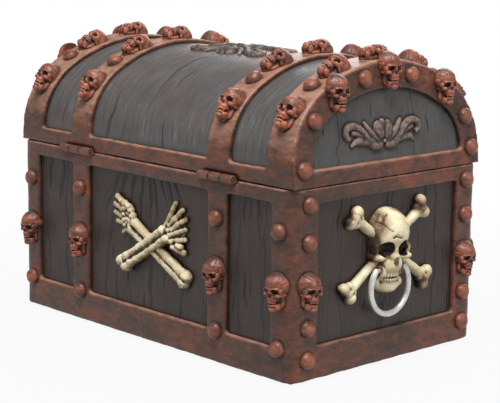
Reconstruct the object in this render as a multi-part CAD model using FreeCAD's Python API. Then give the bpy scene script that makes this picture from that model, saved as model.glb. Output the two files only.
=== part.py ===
"""A cast treasure chest box with a hinged barrel lid, in millimetres.

The origin is at the centre of the underside, +Z is up, +X runs along the length,
the front faces -Y and the hinges are on the back, at +Y. Left means -X.
"""
import FreeCAD, Part
import math
import os

# Base box
BASE_LENGTH = 150.0
BASE_DEPTH = 94.5
BASE_HEIGHT = 65.6
CORNER_RADIUS = 5.0
WALL = 5.0
FLOOR = 5.0
FELT_THICKNESS = 0.8
FELT_INSET = 3.0

# Bands, which stand proud of the panels
BAND_THICKNESS = 2.0
BOTTOM_BAND_TOP = 12.0
TOP_BAND_HEIGHT = 5.1
POST_WIDTH_SIDE = 10.5
POST_WIDTH_END = 12.0
STRAP_WIDTH = 9.5
STRAP_X = 38.0

# Lid: a three-centred arch over leaning ends
SEAM_GAP = 0.4
LID_SPRING = 5.9
LID_RISE = 33.4
SHOULDER_RADIUS = 27.9
LID_END_LEAN = 5.5
RIM_BAND_HEIGHT = 5.5
LID_STRAP_WIDTH = 11.2
END_BAND_WIDTH = 12.5
ARCH_BAND_WIDTH = 9.5

# Studs and small skulls, with their places
STUD_RADIUS = 3.0
STUD_HEIGHT = 2.2
SKULL_WIDTH = 9.6
SKULL_HEIGHT = 13.2
SKULL_DEPTH = 5.0
SKULL_WRAP = 2.5
SKULL_JAW_RADIUS = 3.7
SKULL_CHIN_RADIUS = 2.9
SKULL_CHIN_SETBACK = 0.85
SKULL_EYE_RADIUS = 1.5
SKULL_EYE_X = 2.05
SKULL_EYE_RISE = 0.9
SKULL_NOSE_RADIUS = 0.8
SKULL_NOSE_DROP = 1.2
SKULL_MOUTH_DROP = 3.4
SKULL_MOUTH_WIDTH = 4.8
SKULL_MOUTH_HEIGHT = 0.5
SKULL_CUT_DEPTH = 0.5
SIDE_STUD_RISE = 12.0
SIDE_STUD_DROP = 14.3
END_STUD_RISES = (8.0, 19.0)
END_STUD_DROPS = (5.3, 18.0)
BARREL_SKULL_STEPS = (20.3, 45.5)
BARREL_STUD_STEP = 31.7
ARCH_SKULL_STEPS = (-30.0, 0.0, 27.0)
ARCH_SKULL_LIFT = 1.2
ARCH_STUD_STEPS = (-45.0, -12.0, 12.0, 40.0)

# End emblem: skull, crossed bones and ring, measured from where the bones cross
EMBLEM_LIFT = 4.0
EMBLEM_SHIFT = 2.0
HEAD_RADIUS = 9.7
HEAD_MARGIN = 4.95
HEAD_SINK = 1.3
FACE_RADIUS = 7.2
FACE_RISE = 0.8
FACE_AXIS_HEIGHT = 1.2
CHEEK_RADIUS = 2.8
CHEEK_X = 5.9
CHEEK_DROP = 1.4
CHEEK_HEIGHT = 3.0
UPPER_JAW_RADIUS = 5.0
JAW_CORNER_RADIUS = 3.6
JAW_CORNER_X = 2.6
JAW_CORNER_HEIGHT = 1.5
CHIN_DROP = 14.8
EYE_RADIUS = 2.6
EYE_X = 4.0
EYE_RISE = 1.5
EYE_HEIGHT = 7.6
NOSTRIL_RADIUS = 1.1
NOSTRIL_X = 0.8
NOSTRIL_DROP = 2.9
NOSTRIL_HEIGHT = 7.6
MOUTH_DROP = 9.2
MOUTH_WIDTH = 8.0
MOUTH_GAP = 0.5
MOUTH_DEPTH = 1.2
BONE_RADIUS = 1.9
BONE_AXIS_HEIGHT = 1.2
BONE_UPPER_SPREAD = 17.0
BONE_TOP_MARGIN = 7.55
BONE_LOWER_SPREAD = 20.0
BONE_FOOT_MARGIN = 15.25
KNOB_RADIUS = 2.7
KNOB_SPREAD = 2.7
RING_RADIUS = 9.65
RING_WIRE_RADIUS = 1.05
RING_HALF_SPREAD = 7.3
RING_PIVOT_DROP = 6.1
RING_STANDOFF = 4.2
RING_LEAN = 10.0
RING_PIN_RADIUS = 0.8
RING_PIN_TIP = 2.3

# Crossed arm bones on the long panels
ARM_SHIFT = 4.0
ARM_DROP = 20.75
ARM_OVER_RADIUS = 2.3
ARM_OVER_HEIGHT = 2.0
ARM_UNDER_RADIUS = 1.8
ARM_UNDER_HEIGHT = 1.2
ARM_BONE_OFFSET = 2.1
ELBOW_RADIUS = 2.8
WRIST_RADIUS = 3.4
WRIST_SINK = 1.0
FINGER_RADIUS = 1.6
FINGERTIP_RADIUS = 1.0
OVER_ELBOW = (-15.4, -12.6)
OVER_WRIST = (8.9, 1.7)
OVER_FINGERTIPS = ((13.3, 14.3), (17.1, 10.7), (18.9, 6.2), (19.0, 1.2), (18.1, -3.1))
UNDER_ELBOW = (20.8, -11.9)
UNDER_WRIST = (-9.9, 1.7)
UNDER_FINGERTIPS = ((-19.7, 12.6), (-21.5, 7.3), (-21.0, 3.7), (-19.0, 0.2), (-13.6, -2.8))

# Leaf scrolls on the lid
SCROLL_RELIEF = 1.6
SCROLL_RISE = 15.0
SCROLL_SHIFT = 2.5
TOP_SCROLL_OFFSET = 7.0
SCROLL_FOOT = (0.0, -5.6)
SCROLL_CENTRE_TIP = (0.0, 5.4)
SCROLL_CENTRE_BULGE = 3.4
SCROLL_ARM_TIP = (15.0, 1.2)
SCROLL_ARM_BULGES = (4.2, 1.2)
SCROLL_LOW_LEAF_TIP = (14.8, -2.6)
SCROLL_LOW_LEAF_BULGES = (1.4, -1.0)
SCROLL_HIGH_LEAF_TIP = (8.2, 5.2)
SCROLL_HIGH_LEAF_BULGES = (2.4, 0.2)
VOLUTE_CENTRE = (16.0, 2.6)
VOLUTE_RADIUS = 3.0
VOLUTE_EYE = (15.6, 2.9)
VOLUTE_EYE_RADIUS = 1.1

# Butt hinges
HINGE_X = 38.9
HINGE_LENGTH = 17.4
KNUCKLE_RADIUS = 1.6
HINGE_SETOUT = 1.0
LEAF_THICKNESS = 0.8
LEAF_EDGE = 0.8
HINGE_PIN_RADIUS = 0.6
NAIL_RADIUS = 0.6
NAIL_HEAD_RADIUS = 1.1
NAIL_HEAD_THICKNESS = 0.4
NAIL_LENGTH = 4.5
NAIL_X = 5.6

# Clearances and the least inside corner
LEAST_RADIUS = 0.5
PIN_CLEARANCE = 0.05
BARREL_CLEARANCE = 0.6
KNUCKLE_GAP = 0.15
HOLE_END_CLEARANCE = 0.3

# Sizes that follow from those above
half_length = BASE_LENGTH / 2
half_depth = BASE_DEPTH / 2
panel_x = half_length - BAND_THICKNESS
panel_y = half_depth - BAND_THICKNESS
top_band_bottom = BASE_HEIGHT - TOP_BAND_HEIGHT
lid_bottom = BASE_HEIGHT + SEAM_GAP
rim_top = lid_bottom + RIM_BAND_HEIGHT
spring_z = lid_bottom + LID_SPRING
apex_z = spring_z + LID_RISE
crown_radius = (half_depth ** 2 - 2 * half_depth * SHOULDER_RADIUS + LID_RISE ** 2) / (
    2 * (LID_RISE - SHOULDER_RADIUS))
crown_z = apex_z - crown_radius
shoulder_y = half_depth - SHOULDER_RADIUS
turn_angle = math.atan2(shoulder_y, spring_z - crown_z)
lean = math.radians(LID_END_LEAN)
emblem_z = (BOTTOM_BAND_TOP + top_band_bottom) / 2 + EMBLEM_LIFT
emblem_top = top_band_bottom - emblem_z
emblem_foot = BOTTOM_BAND_TOP - emblem_z
cranium_y = emblem_top - HEAD_MARGIN - HEAD_RADIUS
hinge_y = half_depth + HINGE_SETOUT
hinge_z = BASE_HEIGHT + SEAM_GAP / 2
side_post_x = half_length - CORNER_RADIUS / 4 - POST_WIDTH_SIDE / 2
end_post_y = half_depth - CORNER_RADIUS / 4 - POST_WIDTH_END / 2

UP = FreeCAD.Vector(0, 0, 1)
BEYOND = 20.0
os.makedirs("parts", exist_ok=True)


def vec(x, y, z):
    return FreeCAD.Vector(x, y, z)


def box(x0, x1, y0, y1, z0, z1):
    return Part.makeBox(x1 - x0, y1 - y0, z1 - z0, vec(x0, y0, z0))


def fused(shapes):
    return shapes[0].fuse(shapes[1:]).removeSplitter()


def placed(shape, origin, outward, up):
    """Set a shape drawn with x right, y up and z outward on a face of the chest."""
    turn = FreeCAD.Rotation(up.cross(outward), up, outward, "ZYX")
    copy = shape.copy()
    copy.Placement = FreeCAD.Placement(origin, turn)
    return copy


def write(node, solids):
    """Write one node and say how many solids it holds."""
    pieces = [piece for shape in solids for piece in shape.Solids]
    shape = pieces[0] if len(pieces) == 1 else Part.makeCompound(pieces)
    shape.exportStep("parts/%s.step" % node)
    print(node, len(pieces), "solids", round(sum(piece.Volume for piece in pieces), 1), "mm3")


def rounded_block(length, depth, radius, z0, z1):
    """An upright block with rounded corners in plan."""
    block = box(-length / 2, length / 2, -depth / 2, depth / 2, z0, z1)
    upright = [edge for edge in block.Edges if abs(edge.tangentAt(edge.FirstParameter).z) > 0.9]
    return block.makeFillet(radius, upright)


def base_block(inset, z0, z1):
    """The base's outline, drawn in by an inset."""
    radius = max(CORNER_RADIUS - inset, LEAST_RADIUS)
    return rounded_block(BASE_LENGTH - 2 * inset, BASE_DEPTH - 2 * inset, radius, z0, z1)


def arch_point(distance, inset=0.0):
    """Where an arc length from the apex ends on the arch, and its angle from the vertical."""
    crown = crown_radius - inset
    side = math.copysign(1.0, distance)
    angle = abs(distance) / crown
    if angle <= turn_angle:
        return vec(0, side * crown * math.sin(angle), crown_z + crown * math.cos(angle)), side * angle
    shoulder = SHOULDER_RADIUS - inset
    angle = turn_angle + (abs(distance) - crown * turn_angle) / shoulder
    y = shoulder_y + shoulder * math.sin(angle)
    return vec(0, side * y, spring_z + shoulder * math.cos(angle)), side * angle


def arch_half_length(inset):
    """Arc length from the apex to the spring line."""
    return (crown_radius - inset) * turn_angle + (SHOULDER_RADIUS - inset) * (math.pi / 2 - turn_angle)


def arch_face(inset, bottom):
    """The lid's cross section, drawn in by an inset, standing on a given height."""
    half_width = half_depth - inset
    turn = (crown_radius - inset) * turn_angle
    whole = arch_half_length(inset)
    middle = (turn + whole) / 2
    right_foot = vec(0, half_width, bottom)
    left_foot = vec(0, -half_width, bottom)
    right_spring = vec(0, half_width, spring_z)
    left_spring = vec(0, -half_width, spring_z)
    right_turn = arch_point(turn, inset)[0]
    left_turn = arch_point(-turn, inset)[0]
    edges = [
        Part.makeLine(left_foot, right_foot),
        Part.makeLine(right_foot, right_spring),
        Part.Arc(right_spring, arch_point(middle, inset)[0], right_turn).toShape(),
        Part.Arc(right_turn, arch_point(0.0, inset)[0], left_turn).toShape(),
        Part.Arc(left_turn, arch_point(-middle, inset)[0], left_spring).toShape(),
        Part.makeLine(left_spring, left_foot),
    ]
    return Part.Face(Part.Wire(edges))


def lid_end_x(z, inset=0.0):
    """Half the lid's length at a height, which shrinks as the ends lean in."""
    return half_length - inset / math.cos(lean) - (z - lid_bottom) * math.tan(lean)


def leaning_prism(inset, bottom):
    """All that lies between the lid's two leaning ends, drawn in by an inset."""
    top = apex_z + BEYOND
    low = lid_end_x(bottom, inset)
    high = lid_end_x(top, inset)
    depth = half_depth + BEYOND
    outline = Part.makePolygon([
        vec(-low, -depth, bottom),
        vec(low, -depth, bottom),
        vec(high, -depth, top),
        vec(-high, -depth, top),
        vec(-low, -depth, bottom),
    ])
    return Part.Face(outline).extrude(vec(0, 2 * depth, 0))


def lid_block(inset, bottom):
    """The lid's solid outline, drawn in by an inset."""
    barrel = arch_face(inset, bottom)
    barrel.translate(vec(-half_length - BEYOND, 0, 0))
    return barrel.extrude(vec(BASE_LENGTH + 2 * BEYOND, 0, 0)).common(leaning_prism(inset, bottom))


def stud_blank():
    """A dome-headed stud; its hidden part is cut away by what it sits on."""
    radius = (STUD_RADIUS ** 2 + STUD_HEIGHT ** 2) / (2 * STUD_HEIGHT)
    return Part.makeSphere(radius, vec(0, 0, STUD_HEIGHT - radius))


def skull_blank(back):
    """A small skull facing outward, reaching a given depth behind its seat."""
    head_y = (SKULL_HEIGHT - SKULL_WIDTH) / 2
    chin_y = SKULL_CHIN_RADIUS - SKULL_HEIGHT / 2
    face_z = SKULL_DEPTH - SKULL_CHIN_SETBACK - SKULL_CHIN_RADIUS
    face_front = face_z + SKULL_CHIN_RADIUS
    head = Part.makeSphere(SKULL_WIDTH / 2, vec(0, head_y, SKULL_DEPTH - SKULL_WIDTH / 2))
    jaw = Part.makeCone(
        SKULL_JAW_RADIUS, SKULL_CHIN_RADIUS, head_y - chin_y, vec(0, head_y, face_z), vec(0, -1, 0))
    chin = Part.makeSphere(SKULL_CHIN_RADIUS, vec(0, chin_y, face_z))
    hollows = [
        Part.makeSphere(SKULL_EYE_RADIUS, vec(side * SKULL_EYE_X, SKULL_EYE_RISE, SKULL_DEPTH)) for side in (-1, 1)]
    hollows.append(Part.makeSphere(SKULL_NOSE_RADIUS, vec(0, -SKULL_NOSE_DROP, SKULL_DEPTH)))
    mouth_low = -SKULL_MOUTH_DROP
    mouth_z = face_front - SKULL_CUT_DEPTH
    hollows.append(box(
        -SKULL_MOUTH_WIDTH / 2, SKULL_MOUTH_WIDTH / 2,
        mouth_low, mouth_low + SKULL_MOUTH_HEIGHT, mouth_z, mouth_z + BEYOND))
    front = box(-BEYOND, BEYOND, -BEYOND, BEYOND, -back, BEYOND)
    return fused([head, jaw, chin]).cut(hollows).common(front)


def seated(blank, places, seat):
    """Copies of a blank at each place, with what lies inside the seat cut away."""
    return [placed(blank, *place).cut(seat) for place in places]


# Base: a shell with a felt pad under it

base_outline = base_block(0.0, FELT_THICKNESS, BASE_HEIGHT)
base_core = base_block(BAND_THICKNESS, FELT_THICKNESS, BASE_HEIGHT)
base_room = base_block(BAND_THICKNESS + WALL, FELT_THICKNESS + FLOOR, BASE_HEIGHT + BEYOND)
base_skin = base_outline.cut(base_core)
write("base_felt_pad", [base_block(FELT_INSET, 0.0, FELT_THICKNESS)])


def skin_slice(x0, x1, y0, y1, z0, z1):
    return base_skin.common(box(x0, x1, y0, y1, z0, z1))


far = half_length + BEYOND
bottom_band = skin_slice(-far, far, -far, far, 0.0, BOTTOM_BAND_TOP)
top_band = skin_slice(-far, far, -far, far, top_band_bottom, BASE_HEIGHT)
write("base_bottom_band", [bottom_band])

SIDES = (("left", -1), ("right", 1))
FACES = (("front", -1), ("back", 1))

for face, y_sign in FACES:
    for side, x_sign in SIDES:
        side_edge = x_sign * (half_length - POST_WIDTH_SIDE)
        end_edge = y_sign * (half_depth - POST_WIDTH_END)
        xs = sorted((side_edge, x_sign * far))
        ys = sorted((end_edge, y_sign * far))
        write("corner_post_%s_%s" % (face, side), [skin_slice(*xs, *ys, BOTTOM_BAND_TOP, top_band_bottom)])
        xs = (x_sign * STRAP_X - STRAP_WIDTH / 2, x_sign * STRAP_X + STRAP_WIDTH / 2)
        ys = sorted((0.0, y_sign * far))
        write("strap_%s_%s" % (face, side), [skin_slice(*xs, *ys, BOTTOM_BAND_TOP, top_band_bottom)])

# Studs and small skulls on the base

side_post_and_straps = [sign * x for x in (side_post_x, STRAP_X) for sign in (-1, 1)]
end_stud_heights = list(END_STUD_RISES) + [BASE_HEIGHT - drop for drop in END_STUD_DROPS]
skull_z = (SIDE_STUD_RISE + BASE_HEIGHT - SIDE_STUD_DROP) / 2
stud_places = []
for face, y_sign in FACES:
    outward = vec(0, y_sign, 0)
    for x in side_post_and_straps:
        for z in (SIDE_STUD_RISE, BASE_HEIGHT - SIDE_STUD_DROP):
            stud_places.append((vec(x, y_sign * half_depth, z), outward, UP))
    skull_places = [(vec(x, y_sign * half_depth, skull_z), outward, UP) for x in side_post_and_straps]
    write("base_skulls_%s" % face, seated(skull_blank(SKULL_WRAP), skull_places, base_outline))
for side, x_sign in SIDES:
    outward = vec(x_sign, 0, 0)
    ys = (-end_post_y, end_post_y)
    for z in end_stud_heights:
        stud_places += [(vec(x_sign * half_length, y, z), outward, UP) for y in ys]
    skull_places = [(vec(x_sign * half_length, y, skull_z), outward, UP) for y in ys]
    write("base_skulls_%s" % side, seated(skull_blank(SKULL_WRAP), skull_places, base_outline))
write("base_studs", seated(stud_blank(), stud_places, base_outline))

# Crossed arm bones on the long panels

above_panel = box(-half_length, half_length, -half_length, half_length, 0.0, half_length)


def limb(start, end, height, start_radius, end_radius):
    """A straight tapered bone above the panel."""
    first = vec(start[0], start[1], height)
    run = vec(end[0], end[1], height) - first
    if start_radius == end_radius:
        return Part.makeCylinder(start_radius, run.Length, first, run)
    return Part.makeCone(start_radius, end_radius, run.Length, first, run)


def arm(elbow, wrist, fingertips, radius, height):
    """Two forearm bones side by side, with elbow knobs, a wrist and spread fingers."""
    run = vec(wrist[0] - elbow[0], wrist[1] - elbow[1], 0)
    across = UP.cross(run).normalize() * ARM_BONE_OFFSET
    pieces = [Part.makeSphere(WRIST_RADIUS, vec(wrist[0], wrist[1], height - WRIST_SINK))]
    for side in (-1, 1):
        shift = across * side
        start = (elbow[0] + shift.x, elbow[1] + shift.y)
        end = (wrist[0] + shift.x, wrist[1] + shift.y)
        pieces.append(limb(start, end, height, radius, radius))
        pieces.append(Part.makeSphere(ELBOW_RADIUS, vec(start[0], start[1], height)))
    for tip in fingertips:
        pieces.append(limb(wrist, tip, FINGERTIP_RADIUS, FINGER_RADIUS, FINGERTIP_RADIUS))
        pieces.append(Part.makeSphere(FINGERTIP_RADIUS, vec(tip[0], tip[1], FINGERTIP_RADIUS)))
    return fused(pieces).common(above_panel)


arm_under = arm(UNDER_ELBOW, UNDER_WRIST, UNDER_FINGERTIPS, ARM_UNDER_RADIUS, ARM_UNDER_HEIGHT)
arm_over = arm(OVER_ELBOW, OVER_WRIST, OVER_FINGERTIPS, ARM_OVER_RADIUS, ARM_OVER_HEIGHT).cut(arm_under)
for face, y_sign in FACES:
    outward = vec(0, y_sign, 0)
    origin = vec(-y_sign * ARM_SHIFT, y_sign * panel_y, top_band_bottom - ARM_DROP)
    write("arm_bones_%s_over" % face, [placed(arm_over, origin, outward, UP)])
    write("arm_bones_%s_under" % face, [placed(arm_under, origin, outward, UP)])

# End emblem: crossed bones, a skull and the ring that swings in its jaw


def bone(side):
    """One straight bone with two knobs at each end, rising towards one side."""
    top = (side * BONE_UPPER_SPREAD, emblem_top - BONE_TOP_MARGIN)
    foot = (-side * BONE_LOWER_SPREAD, emblem_foot + BONE_FOOT_MARGIN)
    run = vec(top[0] - foot[0], top[1] - foot[1], 0)
    across = UP.cross(run).normalize() * KNOB_SPREAD
    pieces = [limb(foot, top, BONE_AXIS_HEIGHT, BONE_RADIUS, BONE_RADIUS)]
    for end in (top, foot):
        for sign in (-1, 1):
            centre = vec(end[0], end[1], BONE_AXIS_HEIGHT) + across * sign
            pieces.append(Part.makeSphere(KNOB_RADIUS, centre))
    return fused(pieces)


lap = vec(0, 0, BONE_AXIS_HEIGHT)
upper_half = above_panel.translated(lap)
lower_half = above_panel.translated(lap - vec(0, 0, half_length))
rising = bone(1)
falling = bone(-1)
bone_rising = rising.cut(falling.common(upper_half)).common(above_panel)
bone_falling = falling.cut(rising.common(lower_half)).common(above_panel)


def handle_ring():
    """An open ring with a pivot pin at each end; it hangs with its foot near the panel."""
    drop = math.sqrt(RING_RADIUS ** 2 - RING_HALF_SPREAD ** 2)
    centre = vec(0, -RING_PIVOT_DROP - drop, RING_STANDOFF)
    ends = [vec(side * RING_HALF_SPREAD, -RING_PIVOT_DROP, RING_STANDOFF) for side in (-1, 1)]
    opening = 2 * math.degrees(math.asin(RING_HALF_SPREAD / RING_RADIUS))
    tangent = UP.cross(ends[0] - centre)
    section = Part.Face(Part.Wire(Part.makeCircle(RING_WIRE_RADIUS, ends[0], tangent)))
    pieces = [section.revolve(centre, UP, 360.0 - opening)]
    for end in ends:
        inward = vec(-end.x, 0, 0)
        pieces.append(Part.makeSphere(RING_WIRE_RADIUS, end))
        pieces.append(Part.makeCylinder(RING_PIN_RADIUS, RING_HALF_SPREAD - RING_PIN_TIP, end, inward))
    hung = fused(pieces)
    hung.rotate(vec(0, -RING_PIVOT_DROP, RING_STANDOFF), vec(1, 0, 0), RING_LEAN)
    return hung


def handle_skull():
    """The skull that holds the ring, hollowed for the bones and the pivot pins."""
    jaw_y = JAW_CORNER_RADIUS - CHIN_DROP
    pieces = [
        Part.makeSphere(HEAD_RADIUS, vec(0, cranium_y, -HEAD_SINK)),
        Part.makeSphere(FACE_RADIUS, vec(0, FACE_RISE, FACE_AXIS_HEIGHT)),
        Part.makeCylinder(UPPER_JAW_RADIUS, -jaw_y, vec(0, 0, FACE_AXIS_HEIGHT), vec(0, -1, 0)),
    ]
    hollows = [bone_rising, bone_falling]
    hole_length = RING_HALF_SPREAD - RING_PIN_TIP + HOLE_END_CLEARANCE
    for side in (-1, 1):
        pieces.append(Part.makeSphere(CHEEK_RADIUS, vec(side * CHEEK_X, -CHEEK_DROP, CHEEK_HEIGHT)))
        pieces.append(Part.makeSphere(JAW_CORNER_RADIUS, vec(side * JAW_CORNER_X, jaw_y, JAW_CORNER_HEIGHT)))
        hollows.append(Part.makeSphere(EYE_RADIUS, vec(side * EYE_X, EYE_RISE, EYE_HEIGHT)))
        hollows.append(Part.makeSphere(NOSTRIL_RADIUS, vec(side * NOSTRIL_X, -NOSTRIL_DROP, NOSTRIL_HEIGHT)))
        pivot = vec(side * RING_HALF_SPREAD, -RING_PIVOT_DROP, RING_STANDOFF)
        inward = vec(-side, 0, 0)
        hollows.append(Part.makeCylinder(RING_PIN_RADIUS + PIN_CLEARANCE, hole_length, pivot, inward))
    mouth_z = FACE_AXIS_HEIGHT + UPPER_JAW_RADIUS - MOUTH_DEPTH
    hollows.append(box(
        -MOUTH_WIDTH / 2, MOUTH_WIDTH / 2, -MOUTH_DROP, MOUTH_GAP - MOUTH_DROP, mouth_z, mouth_z + BEYOND))
    return fused(pieces).cut(hollows).common(above_panel)


ring = handle_ring()
skull = handle_skull()
for side, x_sign in SIDES:
    outward = vec(x_sign, 0, 0)
    origin = vec(x_sign * panel_x, EMBLEM_SHIFT, emblem_z)
    write("crossbone_%s_rising" % side, [placed(bone_rising, origin, outward, UP)])
    write("crossbone_%s_falling" % side, [placed(bone_falling, origin, outward, UP)])
    write("handle_skull_%s" % side, [placed(skull, origin, outward, UP)])
    write("handle_ring_%s" % side, [placed(ring, origin, outward, UP)])

# Hinges: leaves let into both rims, a pin and two nails through each leaf

leaf_inner_y = panel_y - WALL + LEAF_EDGE
nail_y = panel_y - WALL / 2
knuckle_length = HINGE_LENGTH / 3
base_cuts = []
lid_cuts = []
base_nails = []
lid_nails = []


def barrel(x, length, radius):
    """A cylinder along the hinge axis, centred at x."""
    return Part.makeCylinder(radius, length, vec(x - length / 2, hinge_y, hinge_z), vec(1, 0, 0))


def leaf(x, z0, z1, own_knuckles, other_knuckles):
    """A hinge plate with its own knuckles, cleared round the other leaf's."""
    plate = box(x - HINGE_LENGTH / 2, x + HINGE_LENGTH / 2, leaf_inner_y, hinge_y, z0, z1)
    clear_radius = KNUCKLE_RADIUS + BARREL_CLEARANCE
    gaps = [barrel(x + at, knuckle_length + KNUCKLE_GAP, clear_radius) for at in other_knuckles]
    rolls = [barrel(x + at, knuckle_length - KNUCKLE_GAP, KNUCKLE_RADIUS) for at in own_knuckles]
    bore = barrel(x, HINGE_LENGTH, HINGE_PIN_RADIUS + PIN_CLEARANCE)
    return fused([plate.cut(gaps)] + rolls).cut(bore)


def nail(x, z, direction):
    """A flat-headed nail whose head is flush with the leaf's face at z."""
    start = vec(x, nail_y, z)
    down = vec(0, 0, direction)
    head = Part.makeCylinder(NAIL_HEAD_RADIUS, NAIL_HEAD_THICKNESS, start, down)
    return head.fuse(Part.makeCylinder(NAIL_RADIUS, NAIL_LENGTH, start, down)).removeSplitter()


def nail_hole(x, z, direction):
    """Room for a nail: a seat for its head and a hole for its shank."""
    start = vec(x, nail_y, z)
    down = vec(0, 0, direction)
    head = Part.makeCylinder(NAIL_HEAD_RADIUS + PIN_CLEARANCE, NAIL_HEAD_THICKNESS, start, down)
    depth = NAIL_LENGTH + HOLE_END_CLEARANCE
    return head.fuse(Part.makeCylinder(NAIL_RADIUS + PIN_CLEARANCE, depth, start, down))


outer_knuckles = (-knuckle_length, knuckle_length)
for side, x_sign in SIDES:
    x = x_sign * HINGE_X
    x0 = x - HINGE_LENGTH / 2
    x1 = x + HINGE_LENGTH / 2
    notch_length = HINGE_LENGTH + 2 * BARREL_CLEARANCE
    notch = barrel(x, notch_length, KNUCKLE_RADIUS + BARREL_CLEARANCE)
    base_holes = [nail_hole(x + shift, BASE_HEIGHT, -1) for shift in (-NAIL_X, NAIL_X)]
    lid_holes = [nail_hole(x + shift, lid_bottom, 1) for shift in (-NAIL_X, NAIL_X)]
    base_nails += [nail(x + shift, BASE_HEIGHT, -1) for shift in (-NAIL_X, NAIL_X)]
    lid_nails += [nail(x + shift, lid_bottom, 1) for shift in (-NAIL_X, NAIL_X)]
    base_mortise = box(x0, x1, leaf_inner_y, hinge_y, BASE_HEIGHT - LEAF_THICKNESS, hinge_z)
    lid_mortise = box(x0, x1, leaf_inner_y, hinge_y, hinge_z, lid_bottom + LEAF_THICKNESS)
    base_cuts += [notch, base_mortise] + base_holes
    lid_cuts += [notch, lid_mortise] + lid_holes
    base_leaf = leaf(x, BASE_HEIGHT - LEAF_THICKNESS, BASE_HEIGHT, outer_knuckles, (0.0,))
    lid_leaf = leaf(x, lid_bottom, lid_bottom + LEAF_THICKNESS, (0.0,), outer_knuckles)
    write("hinge_base_leaf_%s" % side, [base_leaf.cut(base_holes)])
    write("hinge_lid_leaf_%s" % side, [lid_leaf.cut(lid_holes)])
    write("hinge_pin_%s" % side, [barrel(x, HINGE_LENGTH, HINGE_PIN_RADIUS)])

write("hinge_base_nails", base_nails)
write("hinge_lid_nails", lid_nails)
write("base_shell", [base_core.cut([base_room] + base_cuts)])
write("base_top_band", [top_band.cut(base_cuts)])

# Lid: a shell with a rim band, end bands and straps

lid_outline = lid_block(0.0, lid_bottom)
lid_core = lid_block(BAND_THICKNESS, lid_bottom)
lid_room = lid_block(BAND_THICKNESS + WALL, lid_bottom - BEYOND)
lid_skin = lid_outline.cut(lid_block(BAND_THICKNESS, lid_bottom - BEYOND))
lid_above_rim = lid_skin.common(box(-far, far, -far, far, rim_top, apex_z + BEYOND))
write("lid_shell", [lid_core.cut([lid_room] + lid_cuts)])
rim = lid_skin.common(box(-far, far, -far, far, lid_bottom, rim_top))
write("lid_rim_band", [rim.cut(lid_cuts)])

window = arch_face(ARCH_BAND_WIDTH, lid_bottom - BEYOND)
window.translate(vec(-far, 0, 0))
end_ring = lid_above_rim.cut([window.extrude(vec(2 * far, 0, 0)), leaning_prism(END_BAND_WIDTH, lid_bottom)])
for side, x_sign in SIDES:
    xs = sorted((0.0, x_sign * far))
    write("lid_end_band_%s" % side, [end_ring.common(box(*xs, -far, far, 0.0, apex_z + BEYOND))])
    xs = (x_sign * STRAP_X - LID_STRAP_WIDTH / 2, x_sign * STRAP_X + LID_STRAP_WIDTH / 2)
    write("lid_strap_%s" % side, [lid_above_rim.common(box(*xs, -far, far, 0.0, apex_z + BEYOND))])

# Studs and small skulls on the lid


def barrel_place(x, x_sign, on_end_band, distance, chin_side):
    """A place on the barrel, with the chin pointing down one slope."""
    point, angle = arch_point(distance)
    if on_end_band:
        x = x_sign * (lid_end_x(point.z) - END_BAND_WIDTH / 2)
    outward = vec(0, math.sin(angle), math.cos(angle))
    up = vec(0, -math.cos(angle), math.sin(angle)) * chin_side
    return vec(x, point.y, point.z), outward, up


def arch_place(x_sign, distance):
    """A place along the middle of the arch band on a leaning end."""
    point = arch_point(distance, ARCH_BAND_WIDTH / 2)[0]
    outward = vec(x_sign * math.cos(lean), 0, math.sin(lean))
    up = vec(-x_sign * math.sin(lean), 0, math.cos(lean))
    return vec(x_sign * lid_end_x(point.z), point.y, point.z), outward, up


lid_stud_places = []
for side, x_sign in SIDES:
    for band, on_end_band in (("strap", False), ("end_band", True)):
        x = x_sign * STRAP_X
        places = [barrel_place(x, x_sign, on_end_band, 0.0, 1)]
        for slope in (-1, 1):
            for step in BARREL_SKULL_STEPS:
                places.append(barrel_place(x, x_sign, on_end_band, slope * step, slope))
            lid_stud_places.append(barrel_place(x, x_sign, on_end_band, slope * BARREL_STUD_STEP, slope))
        write("lid_skulls_%s_%s" % (side, band), seated(skull_blank(SKULL_WRAP), places, lid_outline))
    lifted_skull = skull_blank(0.0).translated(vec(0, ARCH_SKULL_LIFT, 0))
    skulls = [placed(lifted_skull, *arch_place(x_sign, step)) for step in ARCH_SKULL_STEPS]
    write("lid_arch_skulls_%s" % side, skulls)
    arch_foot = arch_half_length(ARCH_BAND_WIDTH / 2)
    lid_stud_places += [arch_place(x_sign, step) for step in (-arch_foot, *ARCH_STUD_STEPS, arch_foot)]
write("lid_studs", seated(stud_blank(), lid_stud_places, lid_outline))

# Leaf scrolls on the lid's ends and crest


def crescent(start, end, first_bulge, second_bulge):
    """A pointed leaf between two arcs that share their ends."""
    first = vec(start[0], start[1], 0)
    last = vec(end[0], end[1], 0)
    across = UP.cross(last - first).normalize()
    middle = (first + last) * 0.5
    edges = [
        Part.Arc(first, middle + across * first_bulge, last).toShape(),
        Part.Arc(last, middle + across * second_bulge, first).toShape(),
    ]
    return Part.Face(Part.Wire(edges)).extrude(vec(0, 0, SCROLL_RELIEF))


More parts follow.
